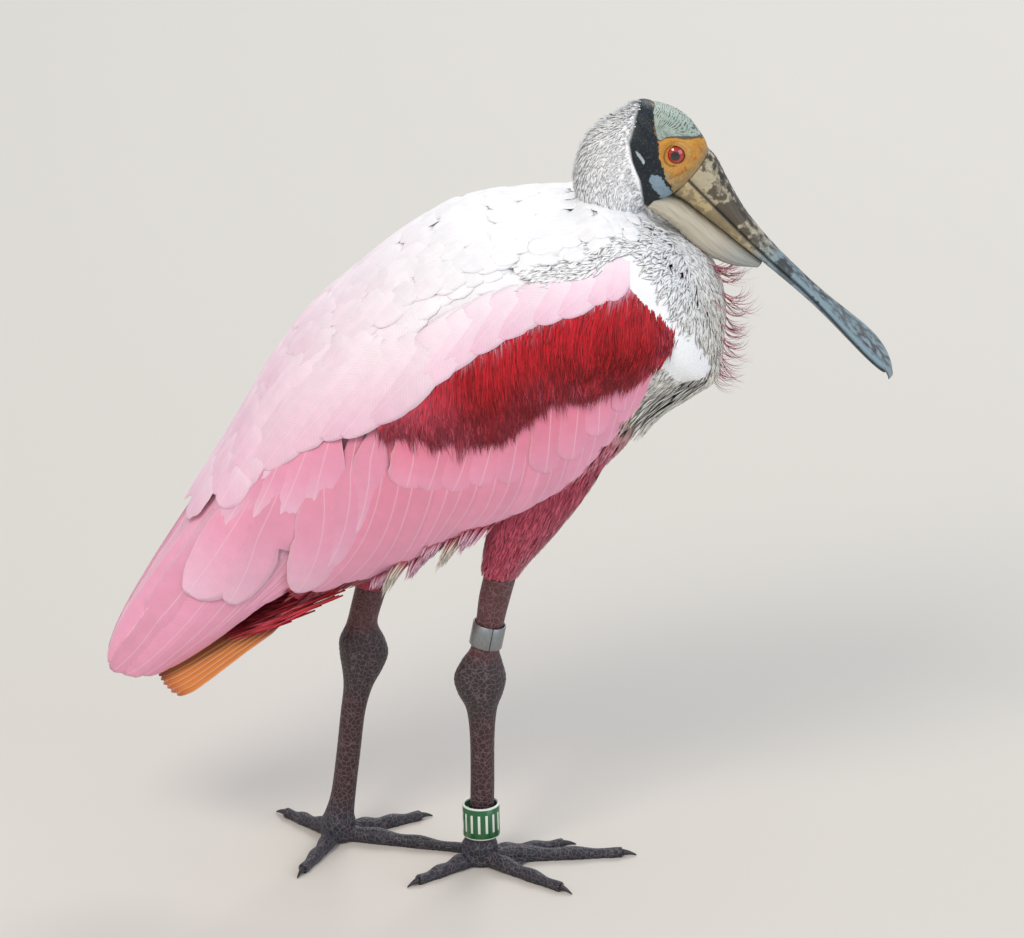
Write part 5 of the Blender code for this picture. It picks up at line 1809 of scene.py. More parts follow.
FAR_LEG = LegPlan(
    "left",
    (
        ((-76, 18.2, 161), 9.2, 9.6),
        ((-79, 17.9, 150), 8.4, 9),
        ((-82, 17.6, 137), 8.4, 9),
        ((-82, 17.4, 127), 11.2, 12.8),
        ((-81, 17.2, 118), 11.8, 13.4),
        ((-82, 17.1, 108), 9.8, 11.4),
        ((-84.6, 17, 96), 7.4, 8.4),
        ((-87.5, 16.9, 80), 6.6, 7.2),
        ((-90, 16.8, 56), 6.4, 7),
        ((-93, 16.6, 30), 6.6, 7.2),
        ((-95.4, 16.5, 17), 8.2, 8.6),
        ((-96.2, 16.5, 12.5), 9.6, 10.2),
        ((-96.5, 16.5, 9), 9.8, 10.4),
    ),
    (-96.5, 16.5),
    {"middle": (-23.5, -3.2), "outer": (-48.4, 44.2), "inner": (-116.6, -34), "hind": (-126.8, 48.4)},
)


@dataclass
class Leg:
    """One scaled leg with its toes, web and claws."""

    plan: LegPlan
    ankle: float = 12.5
    web_reach: float = 0.42

    def build(self) -> list[bpy.types.Object]:
        """Builds the leg as one skin, and its claws."""
        rows = self.plan.shank
        grid_u, grid_v = round_grid(np.linspace(0, len(rows) - 1, 150), 57)
        places = self.knuckled(LimbForm(rows).point(grid_u, grid_v), grid_v)
        leg = make_object(f"leg_{self.plan.name}", grid_form(places))
        parts = [self.ankle_joint()]
        parts += [self.toe(tip) for tip in self.plan.tips.values()]
        parts.append(self.web())
        leg = solid_union(leg, parts)
        remesh = leg.modifiers.new("joined", "REMESH")
        remesh.mode = "VOXEL"
        remesh.voxel_size = 0.75 * MM
        remesh.use_smooth_shade = True
        evaluated_mesh(leg)
        places = point_values(leg)
        places[:, 2] = np.maximum(places[:, 2], 0.0)
        leg.data.vertices.foreach_set("co", to_row(places).reshape(-1))
        self.mark(leg)
        return [leg, *(self.claw(name, tip) for name, tip in self.plan.tips.items())]

    def knuckled(self, places: Array, turn: Array) -> Array:
        """Gives the hock its knobs: swollen front and back and pinched at the sides."""
        x, y, z = np.moveaxis(places, -1, 0)
        middle = np.array([row[0] for row in self.plan.shank])
        level = middle[:, 2][::-1]
        cx = np.interp(z, level, middle[:, 0][::-1])
        cy = np.interp(z, level, middle[:, 1][::-1])
        hock = np.exp(-(((z - 117) / 12) ** 2))
        front = np.cos(np.radians(turn))
        knob = 1 + hock * (0.06 * np.cos(np.radians(2 * turn)) - 0.05 * (np.abs(front) < 0.5))
        ridge = 1 + 0.012 * np.sin(z * 2.1) * hock
        return np.stack([cx + (x - cx) * knob * ridge, cy + (y - cy) * knob * ridge, z], axis=-1)

    @staticmethod
    def radius(f: Array) -> Array:
        """Gives a toe's half thickness, which swells at each joint and thins to the claw."""
        return (5.6 - 2.9 * f**0.8) * (1 + 0.09 * np.cos(6 * math.pi * f))

    def ankle_joint(self) -> bpy.types.Object:
        """Builds the joint where the toes meet."""
        (x, y, _), across, along = self.plan.shank[-2]
        turn = np.radians(np.linspace(-180, 180, 49))
        rings = []
        for z, grow in ((0.0, 0.8), (0.8, 0.9), (2.5, 1.0), (6.0, 1.0), (self.ankle, 1.0)):
            ring = (x + along * grow * np.cos(turn), y + across * grow * np.sin(turn), z + 0 * turn)
            rings.append(np.stack(ring, axis=-1))
        return make_object("ankle", grid_form(np.array(rings)))

    def toe(self, tip: Span) -> bpy.types.Object:
        """Builds one toe with its pads, flat underneath."""
        start, end = np.array((*self.plan.base, 0.0)), np.array((*tip, 0.0))
        f = np.linspace(0, 1, 60)
        radius = self.radius(f)[:, None]
        turn = np.radians(np.linspace(0, 360, 33))[None]
        z = radius * 0.94 + radius * 1.02 * np.sin(turn)
        scale = 1 + 0.02 * np.abs(np.sin(f * 24 * math.pi))[:, None] * (np.sin(turn) > 0)
        z = np.where(z < 0.9, 0.0, z * scale)
        line = start + (end - start) * f[:, None]
        return self.rod("toe", line, unit(end - start), radius * np.cos(turn), z)

    @staticmethod
    def rod(name: str, line: Array, ahead: Array, wide: Array, high: Array) -> bpy.types.Object:
        """Builds a rod along a level line.

        Args:
            name: Its name.
            line: The places along it.
            ahead: Its direction.
            wide: How far each point of each ring lies to the side.
            high: How high it lies.
        """
        across = np.array((-ahead[1], ahead[0], 0.0))
        rings = line[:, None] + wide[..., None] * across
        rings = rings + high[..., None] * np.array((0.0, 0.0, 1.0))
        return make_object(name, grid_form(rings[:, ::-1]))

    def web(self) -> bpy.types.Object:
        """Builds the small web between the middle and the outer toe."""
        start = np.array((*self.plan.base, 2.2))
        first, second = (np.array((*tip, 2.2)) for tip in list(self.plan.tips.values())[:2])
        rows = []
        for f in np.linspace(0.1, self.web_reach, 14):
            a, b = start + (first - start) * f, start + (second - start) * f
            w = np.linspace(0, 1, 15)[:, None]
            line = a + (b - a) * w
            dip = 0.14 * ease((f - 0.2) / 0.22) * np.sin(math.pi * w)
            rows.append(line + (start - line) * dip)
        top = np.array(rows) + np.array((0, 0, 0.9))
        under = np.array(rows) - np.array((0, 0, 0.9))
        rings = np.concatenate([top, under[:, ::-1], top[:, :1]], axis=1)
        return make_object("web", grid_form(rings))

    def claw(self, name: str, tip: Span) -> bpy.types.Object:
        """Builds a claw, curved down to its point."""
        start, end = np.array((*self.plan.base, 0.0)), np.array((*tip, 0.0))
        ahead = unit(end - start)
        f = np.linspace(0, 1, 16)[:, None]
        radius = 2.1 + (0.45 - 2.1) * f
        turn = np.radians(np.linspace(0, 360, 25))[None]
        z = np.maximum(2.6 - 1.9 * f**2 + radius * np.sin(turn), 0.0)
        line = end + ahead * (0.2 + 8.0 * f)
        name = f"nail_{name}_{self.plan.name}"
        return self.rod(name, line, ahead, radius * 0.8 * np.cos(turn), z)

    def mark(self, leg: bpy.types.Object) -> None:
        """Stores the colour of each height at the leg's points."""
        z = point_values(leg)[:, 2]
        tibia, hock = rgb("#5f2e30"), rgb("#33262a")
        tarsus, toes = rgb("#3b191f"), rgb("#242935")
        tone = blend(toes, tarsus, ease((z - 12) / 22))
        tone = blend(tone, hock, ease((z - 88) / 14))
        tone = blend(tone, tibia, ease((z - 128) / 12))
        set_values(leg, "tint", tone)


@dataclass(frozen=True)
class Band:
    """A ring worn on a leg: its centre, its lean, and its inner radius, thickness and height."""

    name: str
    centre: tuple
    lean: float
    inner: float
    thick: float
    high: float
    gap: float = 0.0

    def build(self) -> bpy.types.Object:
        """Builds the ring with eased edges."""
        ease_by = self.thick * 0.3
        outer, half = self.inner + self.thick, self.high / 2
        profile = (
            (self.inner + ease_by, half),
            (outer - ease_by, half),
            (outer, half - ease_by),
            (outer, ease_by - half),
            (outer - ease_by, -half),
            (self.inner + ease_by, -half),
            (self.inner, ease_by - half),
            (self.inner, half - ease_by),
        )
        bm = bmesh.new()
        verts = [bm.verts.new((x, 0, z)) for x, z in profile]
        edges = [bm.edges.new((verts[i - 1], verts[i])) for i in range(len(verts))]
        bmesh.ops.spin(
            bm,
            geom=verts + edges,
            cent=(0, 0, 0),
            axis=(0, 0, 1),
            angle=2 * math.pi,
            steps=96,
            use_merge=True,
        )
        lean = Matrix.Rotation(math.radians(self.lean), 4, "Y")
        bmesh.ops.transform(bm, matrix=Matrix.Translation(self.centre) @ lean, verts=bm.verts)
        made = make_object(self.name, bm)
        off = (point_values(made) - np.array(self.centre)) @ np.array(lean.to_3x3())
        set_values(made, "turned", np.degrees(np.arctan2(off[:, 1], off[:, 0])))
        set_values(made, "level", off[:, 2])
        return made


METAL_BAND = Band("metal_ring", (-8.9, -21.25, 146.5), 10.5, 8.75, 0.95, 14.0)
GREEN_BAND = Band("green_band", (-12.7, -18.25, 28.2), -1.5, 9.5, 1.3, 20.0)


class Finish:
    """A procedural surface: one node tree, made once."""

    name: str = "finish"
    slot: str = ""

    def build(self) -> bpy.types.Material:
        """Makes the material."""
        made = bpy.data.materials.new(self.name)
        made.use_nodes = True
        made.node_tree.nodes.clear()
        self.tree = made.node_tree
        skin = self.add("ShaderNodeBsdfPrincipled")
        out = self.add("ShaderNodeOutputMaterial", Surface=skin.outputs["BSDF"])
        out.location = (300, 0)
        self.shape(skin)
        return made

    def shape(self, skin: bpy.types.Node) -> None:
        """Links the finish's own nodes to the shader."""
        raise NotImplementedError

    def add(self, kind: str, settings: dict | None = None, **inputs: object) -> bpy.types.Node:
        """Adds a node with its settings, values and links.

        Args:
            kind: The node's type.
            settings: The node's own properties.
            **inputs: A value, a colour or another node's output for each input, by name or i0, i1.

        Returns:
            The new node.
        """
        node = self.tree.nodes.new(kind)
        for key, value in (settings or {}).items():
            setattr(node, key, value)
        self.link(node, **inputs)
        return node

    def math(self, operation: str, *values: object) -> bpy.types.NodeSocket:
        """Adds a sum of values or outputs."""
        inputs = {f"i{i}": value for i, value in enumerate(values)}
        return self.add("ShaderNodeMath", {"operation": operation}, **inputs).outputs[0]

    def span(self, value: object, low: float, high: float) -> bpy.types.NodeSocket:
        """Adds a soft step from 0 at low to 1 at high."""
        settings = {"interpolation_type": "SMOOTHSTEP"}
        return self.add("ShaderNodeMapRange", settings, i0=value, i1=low, i2=high).outputs[0]

    def fade(self, value: object, low: float, high: float) -> bpy.types.NodeSocket:
        """Adds a soft step from 1 at low to 0 at high."""
        return self.math("SUBTRACT", 1.0, self.span(value, low, high))

    def around(self, noise: object, reach: float, offset: float = 0.0) -> bpy.types.NodeSocket:
        """Spreads a noise over a reach in millimetres, about an offset."""
        return self.math("MULTIPLY_ADD", noise, reach, offset - reach / 2)

    def mix(self, share: object, a: object, b: object, kind: str = "MIX") -> bpy.types.NodeSocket:
        """Adds a mix of two colours, each a hex text or an output, by a share."""
        a, b = (linear(tone) if isinstance(tone, str) else tone for tone in (a, b))
        settings = {"data_type": "RGBA", "blend_type": kind}
        return self.add("ShaderNodeMix", settings, i0=share, i6=a, i7=b).outputs[2]

    def stain(
        self, colour: object, where: object, tone: object, part: float = 1.0
    ) -> bpy.types.NodeSocket:
        """Covers a colour with a tone where a mask says, by at most a part."""
        share = where if part == 1.0 else self.math("MULTIPLY", where, part)
        return self.mix(share, colour, tone)

    def shaded_tint(self, level: object) -> bpy.types.NodeSocket:
        """Gives the tint stored at the points, made lighter or darker by a level."""
        grey = self.add("ShaderNodeCombineColor", i0=level, i1=level, i2=level).outputs[0]
        return self.mix(1.0, self.read("tint", "Color"), grey, "MULTIPLY")

    def read(self, name: str, kind: str = "Fac") -> bpy.types.NodeSocket:
        """Reads a value stored at the points."""
        return self.add("ShaderNodeAttribute", {"attribute_name": name}).outputs[kind]

    def noise(
        self, per_mm: float, detail: float = 3.0, stretch: tuple = (1, 1, 1)
    ) -> bpy.types.NodeSocket:
        """Adds a noise whose grains are 1 / per_mm wide, in object places.

        Args:
            per_mm: Grains in a millimetre.
            detail: How many finer layers it has.
            stretch: A scale for each axis.
        """
        place = self.add("ShaderNodeTexCoord").outputs["Object"]
        scaled = self.add("ShaderNodeMapping", i0=place, Scale=stretch).outputs[0]
        made = self.add("ShaderNodeTexNoise", Vector=scaled, Scale=per_mm / MM, Detail=detail)
        return made.outputs["Fac"]

    def bump(self, height: object, reach: float, strength: float = 1.0) -> bpy.types.NodeSocket:
        """Adds a relief of a height in millimetres."""
        made = self.add("ShaderNodeBump", Height=height, Distance=reach * MM, Strength=strength)
        return made.outputs["Normal"]

    def vector(self, operation: str, **inputs: object) -> bpy.types.NodeSocket:
        """Adds a sum of vectors."""
        return self.add("ShaderNodeVectorMath", {"operation": operation}, **inputs).outputs[0]

    def laid(self, share: float) -> bpy.types.NodeSocket:
        """Turns each strand's normal towards that of the form it lies on, by a share."""
        under = self.vector("SCALE", i0=self.read("lie", "Vector"), Scale=share)
        own = self.add("ShaderNodeNewGeometry").outputs["Normal"]
        own = self.vector("SCALE", i0=own, Scale=1 - share)
        return self.vector("NORMALIZE", i0=self.vector("ADD", i0=under, i1=own))

    def link(self, node: bpy.types.Node, **inputs: object) -> None:
        """Links or sets a node's inputs, by name or by number as i0, i1."""
        for key, value in inputs.items():
            numbered = key[0] == "i" and key[1:].isdigit()
            socket = node.inputs[int(key[1:]) if numbered else key.replace("_", " ")]
            if isinstance(value, bpy.types.NodeSocket):
                self.tree.links.new(value, socket)
            else:
                socket.default_value = value


@dataclass
class Plumage(Finish):
    """Feathers: matt keratin barbs."""

    name: str
    barbs: float = 0.12
    shaft: float = 0.35
    rim: float = 0.2
    rough: float = 0.75
    sheen: float = 0.25

    def shape(self, skin: bpy.types.Node) -> None:
        """Real: barbs 0.5 mm apart that slant from the shaft. Made: tint from the points, a wave
        across the vane's own measures (drawn three times coarser), a pale shaft and rim. To the
        eye: soft silk with fine slanting lines."""
        vane = self.add("ShaderNodeSeparateXYZ", i0=self.read("vane", "Vector"))
        across, along, seed = vane.outputs
        off = self.math("ABSOLUTE", across)
        slant = self.math("SUBTRACT", along, self.math("MULTIPLY", off, 1.3))
        wobble = self.math("MULTIPLY", self.noise(0.25, 2.0), 5.0)
        phase = self.math("ADD", self.math("MULTIPLY", slant, 2 * math.pi / 1.5), wobble)
        wave = self.math("SINE", self.math("ADD", phase, self.math("MULTIPLY", seed, 40.0)))
        patchy = self.noise(0.12, 3.0)
        level = self.math("MULTIPLY_ADD", wave, self.barbs * 0.5, 1.0 - self.barbs * 0.3)
        level = self.math("ADD", level, self.around(patchy, 0.16))
        shaft = self.fade(off, self.shaft * 0.5, self.shaft * 1.3)
        colour = self.stain(self.shaded_tint(level), shaft, "#f6dfe4", 0.35)
        rim = self.math("MULTIPLY", self.span(self.read("rim"), 0.82, 1.0), self.rim)
        colour = self.stain(colour, rim, "#f7ebee")
        self.link(
            skin,
            Base_Color=colour,
            Roughness=self.rough,
            Sheen_Weight=self.sheen,
            Sheen_Roughness=0.5,
            Specular_IOR_Level=0.25,
            Normal=self.bump(wave, 0.05, 0.6),
        )


@dataclass
class Strand(Finish):
    """Loose strands and down: fine and matt."""

    name: str
    gloss: float = 0.6

    def shape(self, skin: bpy.types.Node) -> None:
        """Real: barbs without hooks, 0.1 mm thick. Made: tint from the points, streaked by a noise.
        To the eye: soft locks."""
        level = self.math("MULTIPLY_ADD", self.noise(0.3, 2.0), 0.24, 0.86)
        self.link(
            skin,
            Base_Color=self.shaded_tint(level),
            Roughness=self.gloss,
            Sheen_Weight=0.3,
            Specular_IOR_Level=0.25,
            Normal=self.laid(0.8),
        )


@dataclass
class BareSkin(Finish):
    """The skin: bare and marked on the head, pale under the feathers elsewhere."""

    name: str = "bare_skin_finish"

    def shape(self, skin: bpy.types.Node) -> None:
        """Real: bare leathery skin, pale green-grey on the crown, orange round the eye, black
        along the borders. Made: stored distances cut at noise-shifted levels. To the eye: a
        mottled map with crisp black lines and folds."""
        coarse, fine = self.noise(0.16, 4.0), self.noise(0.9, 4.0)
        mid = self.noise(0.45, 4.0)
        shift = self.around(coarse, 3.0)
        crown = self.math("ADD", self.read("crown"), self.math("MULTIPLY", shift, 0.9))
        band = self.math("ADD", self.read("band"), self.math("MULTIPLY", shift, 0.5))
        nape = self.math("ADD", self.read("nape"), self.math("MULTIPLY", shift, 0.6))
        up, along, eye = self.read("up"), self.read("along"), self.read("eye")
        orange = self.mix(coarse, "#b87422", "#d6a044")
        down, back = self.math("MULTIPLY", up, -1.0), self.math("MULTIPLY", along, -1.0)
        orange = self.mix(self.span(down, 6.0, 13.0), orange, "#b99a63")
        ear = self.math("MULTIPLY", self.span(down, 9.0, 15.0), self.span(back, -9.0, -2.0))
        colour = self.mix(ear, orange, "#8f9c9c")
        deep = self.span(self.noise(0.3, 4.0), 0.5, 0.62)
        deep = self.math("MULTIPLY", deep, self.span(along, 2.0, 12.0))
        colour = self.stain(colour, deep, "#8a3f10", 0.6)
        root = self.math("ADD", along, self.around(mid, 16.0))
        horn = self.mix(fine, "#5f5136", "#b3a27a")
        colour = self.stain(colour, self.span(root, 9.0, 14.0), horn, 0.8)
        grain = self.span(fine, 0.45, 0.7)
        colour = self.stain(colour, grain, "#7d5a2c", 0.35)
        pale = self.mix(coarse, "#8d9c94", "#b4c1b2")
        colour = self.mix(self.span(crown, -0.6, 0.6), colour, pale)
        swirl = self.math("MULTIPLY_ADD", self.noise(0.09, 2.0), 26.0, self.read("fan"))
        fan = self.math("SINE", self.math("MULTIPLY", swirl, 2 * math.pi / 5.2))
        fan = self.math("ADD", fan, self.around(mid, 5.0, -0.1))
        line = self.math("MULTIPLY", self.span(fan, 0.35, 0.9), self.span(crown, 0.2, 2.0))
        colour = self.stain(colour, line, "#20292b", 0.8)
        edge = self.fade(self.math("ABSOLUTE", crown), 0.3, 1.1)
        colour = self.stain(colour, edge, "#242b2c", 0.8)
        ring = self.math("ABSOLUTE", self.math("SUBTRACT", eye, 6.45))
        ring = self.fade(ring, 0.2, 0.8)
        colour = self.stain(colour, ring, "#33231a", 0.55)
        ragged = self.math("ADD", band, self.around(mid, 7.0, -0.1))
        black = self.mix(self.span(fine, 0.5, 0.72), "#151c21", "#33424a")
        colour = self.mix(self.span(ragged, -0.5, 0.5), colour, black)
        patch = self.math("ADD", self.read("ear_patch"), self.around(mid, 5.0))
        patch = self.fade(patch, 3.2, 4.0)
        colour = self.stain(colour, patch, self.mix(mid, "#6d8798", "#9fb2bd"), 0.9)
        slit = self.math("ADD", self.read("ear_slit"), self.around(mid, 2.0))
        slit = self.fade(slit, 0.5, 1.0)
        colour = self.stain(colour, slit, "#b9c6cb", 0.8)
        colour = self.stain(colour, self.span(nape, 1.0, 5.0), self.read("tint", "Color"))
        height = self.math("ADD", self.math("MULTIPLY", fine, 0.6), self.math("MULTIPLY", fan, 0.15))
        self.link(
            skin,
            Base_Color=colour,
            Roughness=0.5,
            Specular_IOR_Level=0.35,
            Subsurface_Weight=0.08,
            Subsurface_Scale=0.6 * MM,
            Normal=self.bump(height, 0.25, 0.8),
        )


@dataclass
class LidSkin(Finish):
    """The eyelids' skin."""

    name: str = "lid_finish"

    def shape(self, skin: bpy.types.Node) -> None:
        """Real: thin ochre skin in fine rings. Made: two ochres by noise, flecked darker by a finer
        noise.
        To the eye: a soft, moist rim round the red eye."""
        coarse, fine = self.noise(0.3, 4.0), self.noise(1.4, 3.0)
        colour = self.mix(coarse, "#b07228", "#d0a456")
        colour = self.stain(colour, self.span(fine, 0.5, 0.75), "#5d3d22", 0.4)
        self.link(skin, Base_Color=colour, Roughness=0.42, Normal=self.bump(fine, 0.2, 0.7))


@dataclass
class Iris(Finish):
    """The eye: a red iris round a black pupil under a clear coat."""

    name: str = "eye_finish"

    def shape(self, skin: bpy.types.Node) -> None:
        """Real: a wet cornea over a scarlet iris. Made: rings by the distance from the axis, rays
        by the turn. To the eye: a vivid red ring with a deep black centre and one highlight."""
        off = self.read("off_axis")
        place = self.add("ShaderNodeCombineXYZ", i0=self.math("MULTIPLY", self.read("turned"), 90.0))
        rays = self.add("ShaderNodeTexNoise", Vector=place.outputs[0], Scale=1.0, Detail=3.0)
        red = self.mix(rays.outputs["Fac"], "#7c0508", "#c91a14")
        rim = self.span(off, 4.3, 5.4)
        colour = self.stain(red, rim, "#3c0507", 0.75)
        pupil = self.fade(off, 2.7, 2.95)
        colour = self.stain(colour, pupil, "#050506")
        self.link(
            skin, Base_Color=colour, Roughness=0.12, Coat_Weight=1.0, Coat_Roughness=0.03
        )


@dataclass
class BillHorn(Finish):
    """The bill's horn: ivory grey mottled with brown at its root, blue-grey further on."""

    name: str
    low: bool = False

    def shape(self, skin: bpy.types.Node) -> None:
        """Real: worn horn, ridged across at its root. Made: two ground colours by the distance
        along, blotches from two noises, dark lines by the height over the gape. To the eye: old
        ivory with tortoise blotches that turns slate towards the spoon."""
        along, height, gape = self.read("along"), self.read("height"), self.read("from_gape")
        coarse, mid, fine = self.noise(0.055, 4.0), self.noise(0.2, 4.0), self.noise(0.8, 4.0)
        ivory, slate = ("#a98f5e", "#71889a") if self.low else ("#a39a86", "#6b8694")
        ground = self.mix(mid, ivory, "#c3b693")
        far = self.mix(mid, slate, "#93a7ad")
        shift = self.around(coarse, 60.0)
        reach = self.span(self.math("ADD", along, shift), 62.0, 98.0)
        colour = self.mix(reach, ground, far)
        blotch = self.math("ADD", self.math("MULTIPLY", coarse, 0.6), self.math("MULTIPLY", mid, 0.45))
        limit = self.math("MULTIPLY_ADD", reach, 0.07, 0.50)
        dark = self.span(self.math("SUBTRACT", blotch, limit), -0.03, 0.05)
        share = 0.5 if self.low else 0.85
        colour = self.stain(colour, self.math("MULTIPLY", dark, share), "#2b241f")
        top = self.math("MULTIPLY", self.span(height, 0.72, 0.95), self.span(mid, 0.35, 0.6))
        colour = self.stain(colour, top, "#231d1a", 0.8)
        speck = self.span(fine, 0.58, 0.70)
        colour = self.stain(colour, speck, "#4a4136", 0.5)
        seam = self.fade(gape, 0.3, 1.6)
        colour = self.stain(colour, seam, "#1d1b1c", 0.75)
        relief = self.math("ADD", self.math("MULTIPLY", mid, 0.7), self.math("MULTIPLY", fine, 0.3))
        self.link(
            skin,
            Base_Color=colour,
            Roughness=0.42,
            Specular_IOR_Level=0.4,
            Normal=self.bump(relief, 0.45, 0.6),
        )


@dataclass
class PouchSkin(Finish):
    """The bare throat pouch: pale leathery skin in fine long folds."""

    name: str = "pouch_finish"

    def shape(self, skin: bpy.types.Node) -> None:
        """Real: loose skin with folds a millimetre apart. Made: a noise stretched along the bill
        over two creams. To the eye: pale streaked leather."""
        p, q = self.read("along"), self.read("up")
        place = self.add(
            "ShaderNodeCombineXYZ", i0=self.math("MULTIPLY", p, 0.06), i1=self.math("MULTIPLY", q, 0.9)
        )
        streak = self.add("ShaderNodeTexNoise", Vector=place.outputs[0], Scale=1.0, Detail=4.0)
        coarse = self.noise(0.15, 4.0)
        colour = self.mix(streak.outputs["Fac"], "#8d8a80", "#ded6c3")
        colour = self.stain(colour, coarse, "#b9a887", 0.5)
        far = self.span(p, 48.0, 84.0)
        colour = self.stain(colour, far, "#7f8a8f", 0.7)
        self.link(
            skin,
            Base_Color=colour,
            Roughness=0.55,
            Normal=self.bump(streak.outputs["Fac"], 0.5, 0.7),
        )


@dataclass
class Scales(Finish):
    """The legs' horny scales."""

    name: str = "leg_finish"

    def shape(self, skin: bpy.types.Node) -> None:
        """Real: six-sided plates 3 mm wide with pale seams. Made: cells in space with their edge
        distance as relief and seam colour. To the eye: dark reptile skin with a net of lines."""
        place = self.add("ShaderNodeTexCoord").outputs["Object"]
        squash = self.add("ShaderNodeMapping", i0=place, Scale=(1.0, 1.0, 0.85)).outputs[0]
        cells = {"feature": "DISTANCE_TO_EDGE"}
        edge = self.add("ShaderNodeTexVoronoi", cells, Vector=squash, Scale=0.36 / MM).outputs[0]
        seam = self.fade(edge, 0.02, 0.10)
        coarse = self.noise(0.1, 4.0)
        tint = self.read("tint", "Color")
        colour = self.stain(tint, coarse, "#17181d", 0.5)
        colour = self.stain(colour, seam, "#8b7375", 0.35)
        self.link(
            skin,
            Base_Color=colour,
            Roughness=0.48,
            Normal=self.bump(self.span(edge, 0.0, 0.2), 0.35, 0.9),
        )


@dataclass
class Claw(Finish):
    """The claws: dark horn."""

    name: str = "claw_finish"

    def shape(self, skin: bpy.types.Node) -> None:
        """Real: black-brown horn. Made: two browns by noise. To the eye: dull dark points."""
        colour = self.mix(self.noise(0.4, 3.0), "#16161a", "#3a3433")
        self.link(skin, Base_Color=colour, Roughness=0.4)


@dataclass
class RingMetal(Finish):
    """The metal ring: brushed, scratched light alloy with its seam."""

    name: str = "ring_finish"

    def shape(self, skin: bpy.types.Node) -> None:
        """Real: rolled alloy, dulled by sand. Made: fine upright scratches by noise, a dark seam
        at one turn. To the eye: dull grey metal."""
        turned = self.read("turned")
        scratch = self.noise(0.5, 4.0, (6, 6, 0.6))
        coarse = self.noise(0.12, 4.0)
        colour = self.mix(scratch, "#6d7174", "#b9bdbf")
        colour = self.stain(colour, coarse, "#5b5a55", 0.4)
        seam = self.math("ABSOLUTE", self.math("ADD", turned, 78.0))
        seam = self.fade(seam, 0.8, 2.2)
        colour = self.stain(colour, seam, "#1d1e20")
        rough = self.math("MULTIPLY_ADD", scratch, 0.25, 0.3)
        self.link(
            skin,
            Base_Color=colour,
            Metallic=0.85,
            Roughness=rough,
            Normal=self.bump(scratch, 0.08, 0.6),
        )


@dataclass
class BandPlastic(Finish):
    """The green plastic band with white rims and a plain code of bars."""

    name: str = "band_finish"

    def shape(self, skin: bpy.types.Node) -> None:
        """Real: green plastic with an engraved white layer. Made: bars by the turn and height.
        To the eye: a glossy green ring with white marks."""
        turned, level = self.read("turned"), self.read("level")
        high = self.math("ABSOLUTE", level)
        wave = self.math("FRACT", self.math("DIVIDE", self.math("ADD", turned, 180.0), 24.0))
        bar = self.math("MULTIPLY", self.span(wave, 0.30, 0.34), self.fade(wave, 0.62, 0.66))
        inside = self.fade(high, 5.4, 5.9)
        white = self.math("MULTIPLY", bar, inside)
        rim = self.span(high, 8.9, 9.2)
        white = self.math("MAXIMUM", white, rim)
        wear = self.noise(0.3, 4.0)
        green = self.mix(wear, "#0d4a20", "#1b6b34")
        colour = self.mix(white, green, "#d9ddd6")
        self.link(
            skin, Base_Color=colour, Roughness=0.32, Coat_Weight=0.3, Normal=self.bump(wear, 0.1, 0.4)
        )


@dataclass
class FloorPaint(Finish):
    """A plain pale floor."""

    name: str = "floor_finish"

    def shape(self, skin: bpy.types.Node) -> None:
        """Real: a matt studio floor. Made: one warm grey. To the eye: a quiet ground."""
        self.link(skin, Base_Color=linear("#cfcac2"), Roughness=0.85)


@dataclass
class Studio:
    """The floor, the lights and the camera."""

    sensor: float = 36.0
    lens: float = 1090.8
    away: float = 18.0
    elevation: float = 23.0
    aim: tuple = (0.00736, 0.0, 0.24128)

    def build(self) -> None:
        """Builds all three."""
        self.floor()
        self.light("key", (-1.1, -1.9, 2.6), 1.1, 46.0, "#fff4e6")
        self.light("fill", (2.2, -1.6, 1.2), 1.8, 22.0, "#e9f1ff")
        self.light("rim", (0.6, 2.0, 1.9), 1.2, 26.0, "#ffffff")
        world = bpy.data.worlds.new("studio")
        world.use_nodes = True
        background = world.node_tree.nodes["Background"]
        background.inputs["Color"].default_value = linear("#dfe6ee")
        background.inputs["Strength"].default_value = 0.8
        bpy.context.scene.world = world
        self.camera()
        bpy.context.scene.view_settings.view_transform = "Standard"

    def floor(self) -> None:
        """Builds the floor under the bird."""
        bm = bmesh.new()
        bmesh.ops.create_grid(bm, x_segments=1, y_segments=1, size=6.0)
        mesh = bpy.data.meshes.new("floor")
        bm.to_mesh(mesh)
        bm.free()
        made = bpy.data.objects.new("floor", mesh)
        bpy.context.scene.collection.objects.link(made)
        made.data.materials.append(FloorPaint().build())

    @staticmethod
    def light(name: str, place: tuple, size: float, power: float, colour: str) -> None:
        """Adds a soft square light that looks at the bird."""
        data = bpy.data.lights.new(name, "AREA")
        data.energy, data.size, data.color = power, size, linear(colour)[:3]
        made = bpy.data.objects.new(name, data)
        made.location = place
        made.rotation_euler = (Vector((0, 0, 0.25)) - Vector(place)).to_track_quat("-Z", "Y").to_euler()
        bpy.context.scene.collection.objects.link(made)

    def camera(self) -> None:
        """Adds the camera at the photo's angle."""
        data = bpy.data.cameras.new("camera")
        data.lens, data.sensor_width = self.lens, self.sensor
        data.clip_end = 50.0
        made = bpy.data.objects.new("camera", data)
        up = math.radians(self.elevation)
        made.location = Vector(self.aim) + self.away * Vector((0, -math.cos(up), math.sin(up)))
        made.rotation_euler = (math.pi / 2 - up, 0.0, 0.0)
        bpy.context.scene.collection.objects.link(made)
        bpy.context.scene.camera = made


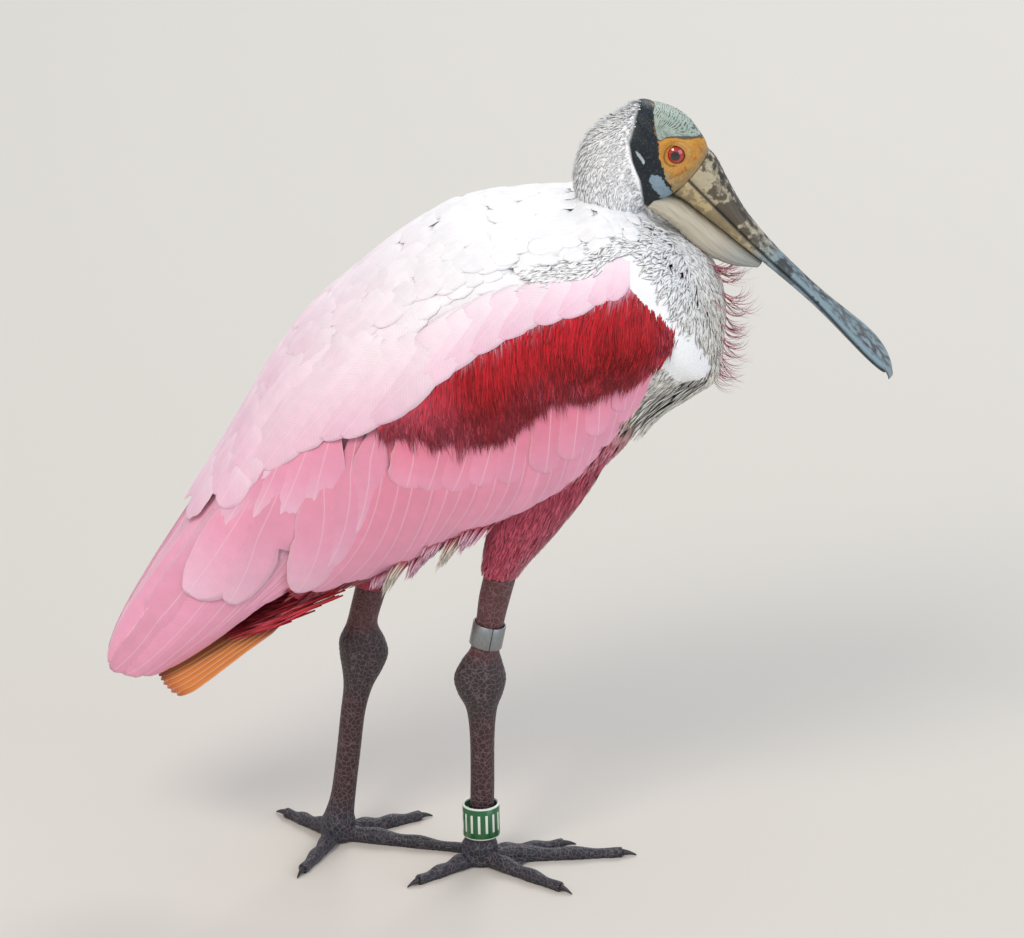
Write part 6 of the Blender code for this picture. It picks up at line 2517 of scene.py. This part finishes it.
def dress(
    pieces: Iterable[bpy.types.Object], finish: bpy.types.Material, nodes: Sequence[str]
) -> None:
    """Gives pieces their material, binds them to the body and has them stand in for nodes.

    Args:
        pieces: The pieces.
        finish: Their material.
        nodes: The frame's nodes that they replace.
    """
    for piece in pieces:
        piece.data.materials.clear()
        piece.data.materials.append(finish)
        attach(piece, BODY)
        if nodes:
            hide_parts(*nodes)
        mesh = piece.data
        log.info("%s: %d points, %d faces", piece.name, len(mesh.vertices), len(mesh.polygons))


FLESH = ("torso", "neck_lower", "neck_upper", "head", "thigh_left", "thigh_right")


def main() -> None:
    """Loads the frame and builds the bird over it, part by part."""
    logging.basicConfig(level=logging.INFO, format="%(message)s")
    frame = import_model()
    log.info("%d solids in the frame", len(frame["nodes"]))
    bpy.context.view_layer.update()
    draw = np.random.default_rng(20)
    vanes, down = Plumage("vane_finish").build(), Strand("down_finish").build()
    strands = Strand("plume_finish", 0.45).build()
    dress([Skin().build()], BareSkin().build(), FLESH)
    dress([Lids().build()], LidSkin().build(), ["head"])
    iris = Iris().build()
    for side, node in ((1, "eye_right"), (-1, "eye_left")):
        dress([Eye().build(side)], iris, [node])
    upper, lower, pouch = Bill().build()
    dress([upper], BillHorn("bill_finish").build(), ["bill_upper"])
    dress([lower], BillHorn("lower_bill_finish", True).build(), ["bill_lower"])
    dress([pouch], PouchSkin().build(), ["throat_pouch"])
    log.info("head and bill done")
    scales, horn = Scales().build(), Claw().build()
    for plan in (NEAR_LEG, FAR_LEG):
        leg, *claws = Leg(plan).build()
        dress([leg], scales, [f"shank_{plan.name}", f"foot_{plan.name}"])
        for claw in claws:
            dress([claw], horn, [claw.name.replace("nail", "claw")])
    dress([METAL_BAND.build()], RingMetal().build(), ["band_metal"])
    dress([GREEN_BAND.build()], BandPlastic().build(), ["band_green"])
    log.info("legs and bands done")
    for side, node in ((1, "wing_right"), (-1, "wing_left")):
        feathers, plumes = Wings().build(side, draw)
        dress([feathers], vanes, [node])
        dress([plumes], strands, [node])
    dress([Back().build(draw)], vanes, ["torso"])
    dress([Tail().build(draw)], vanes, ["tail"])
    neck_down, breast_down, curls = NeckCoat().build(draw)
    dress([neck_down, breast_down], down, ["neck_lower"])
    dress([curls], strands, ["torso"])
    belly, thighs, undertail = UnderCoat().build(draw)
    dress([belly, undertail], strands, ["torso"])
    dress([thighs], strands, ["thigh_left", "thigh_right"])
    log.info("coat done")
    Studio().build()


if __name__ == "__main__":
    main()
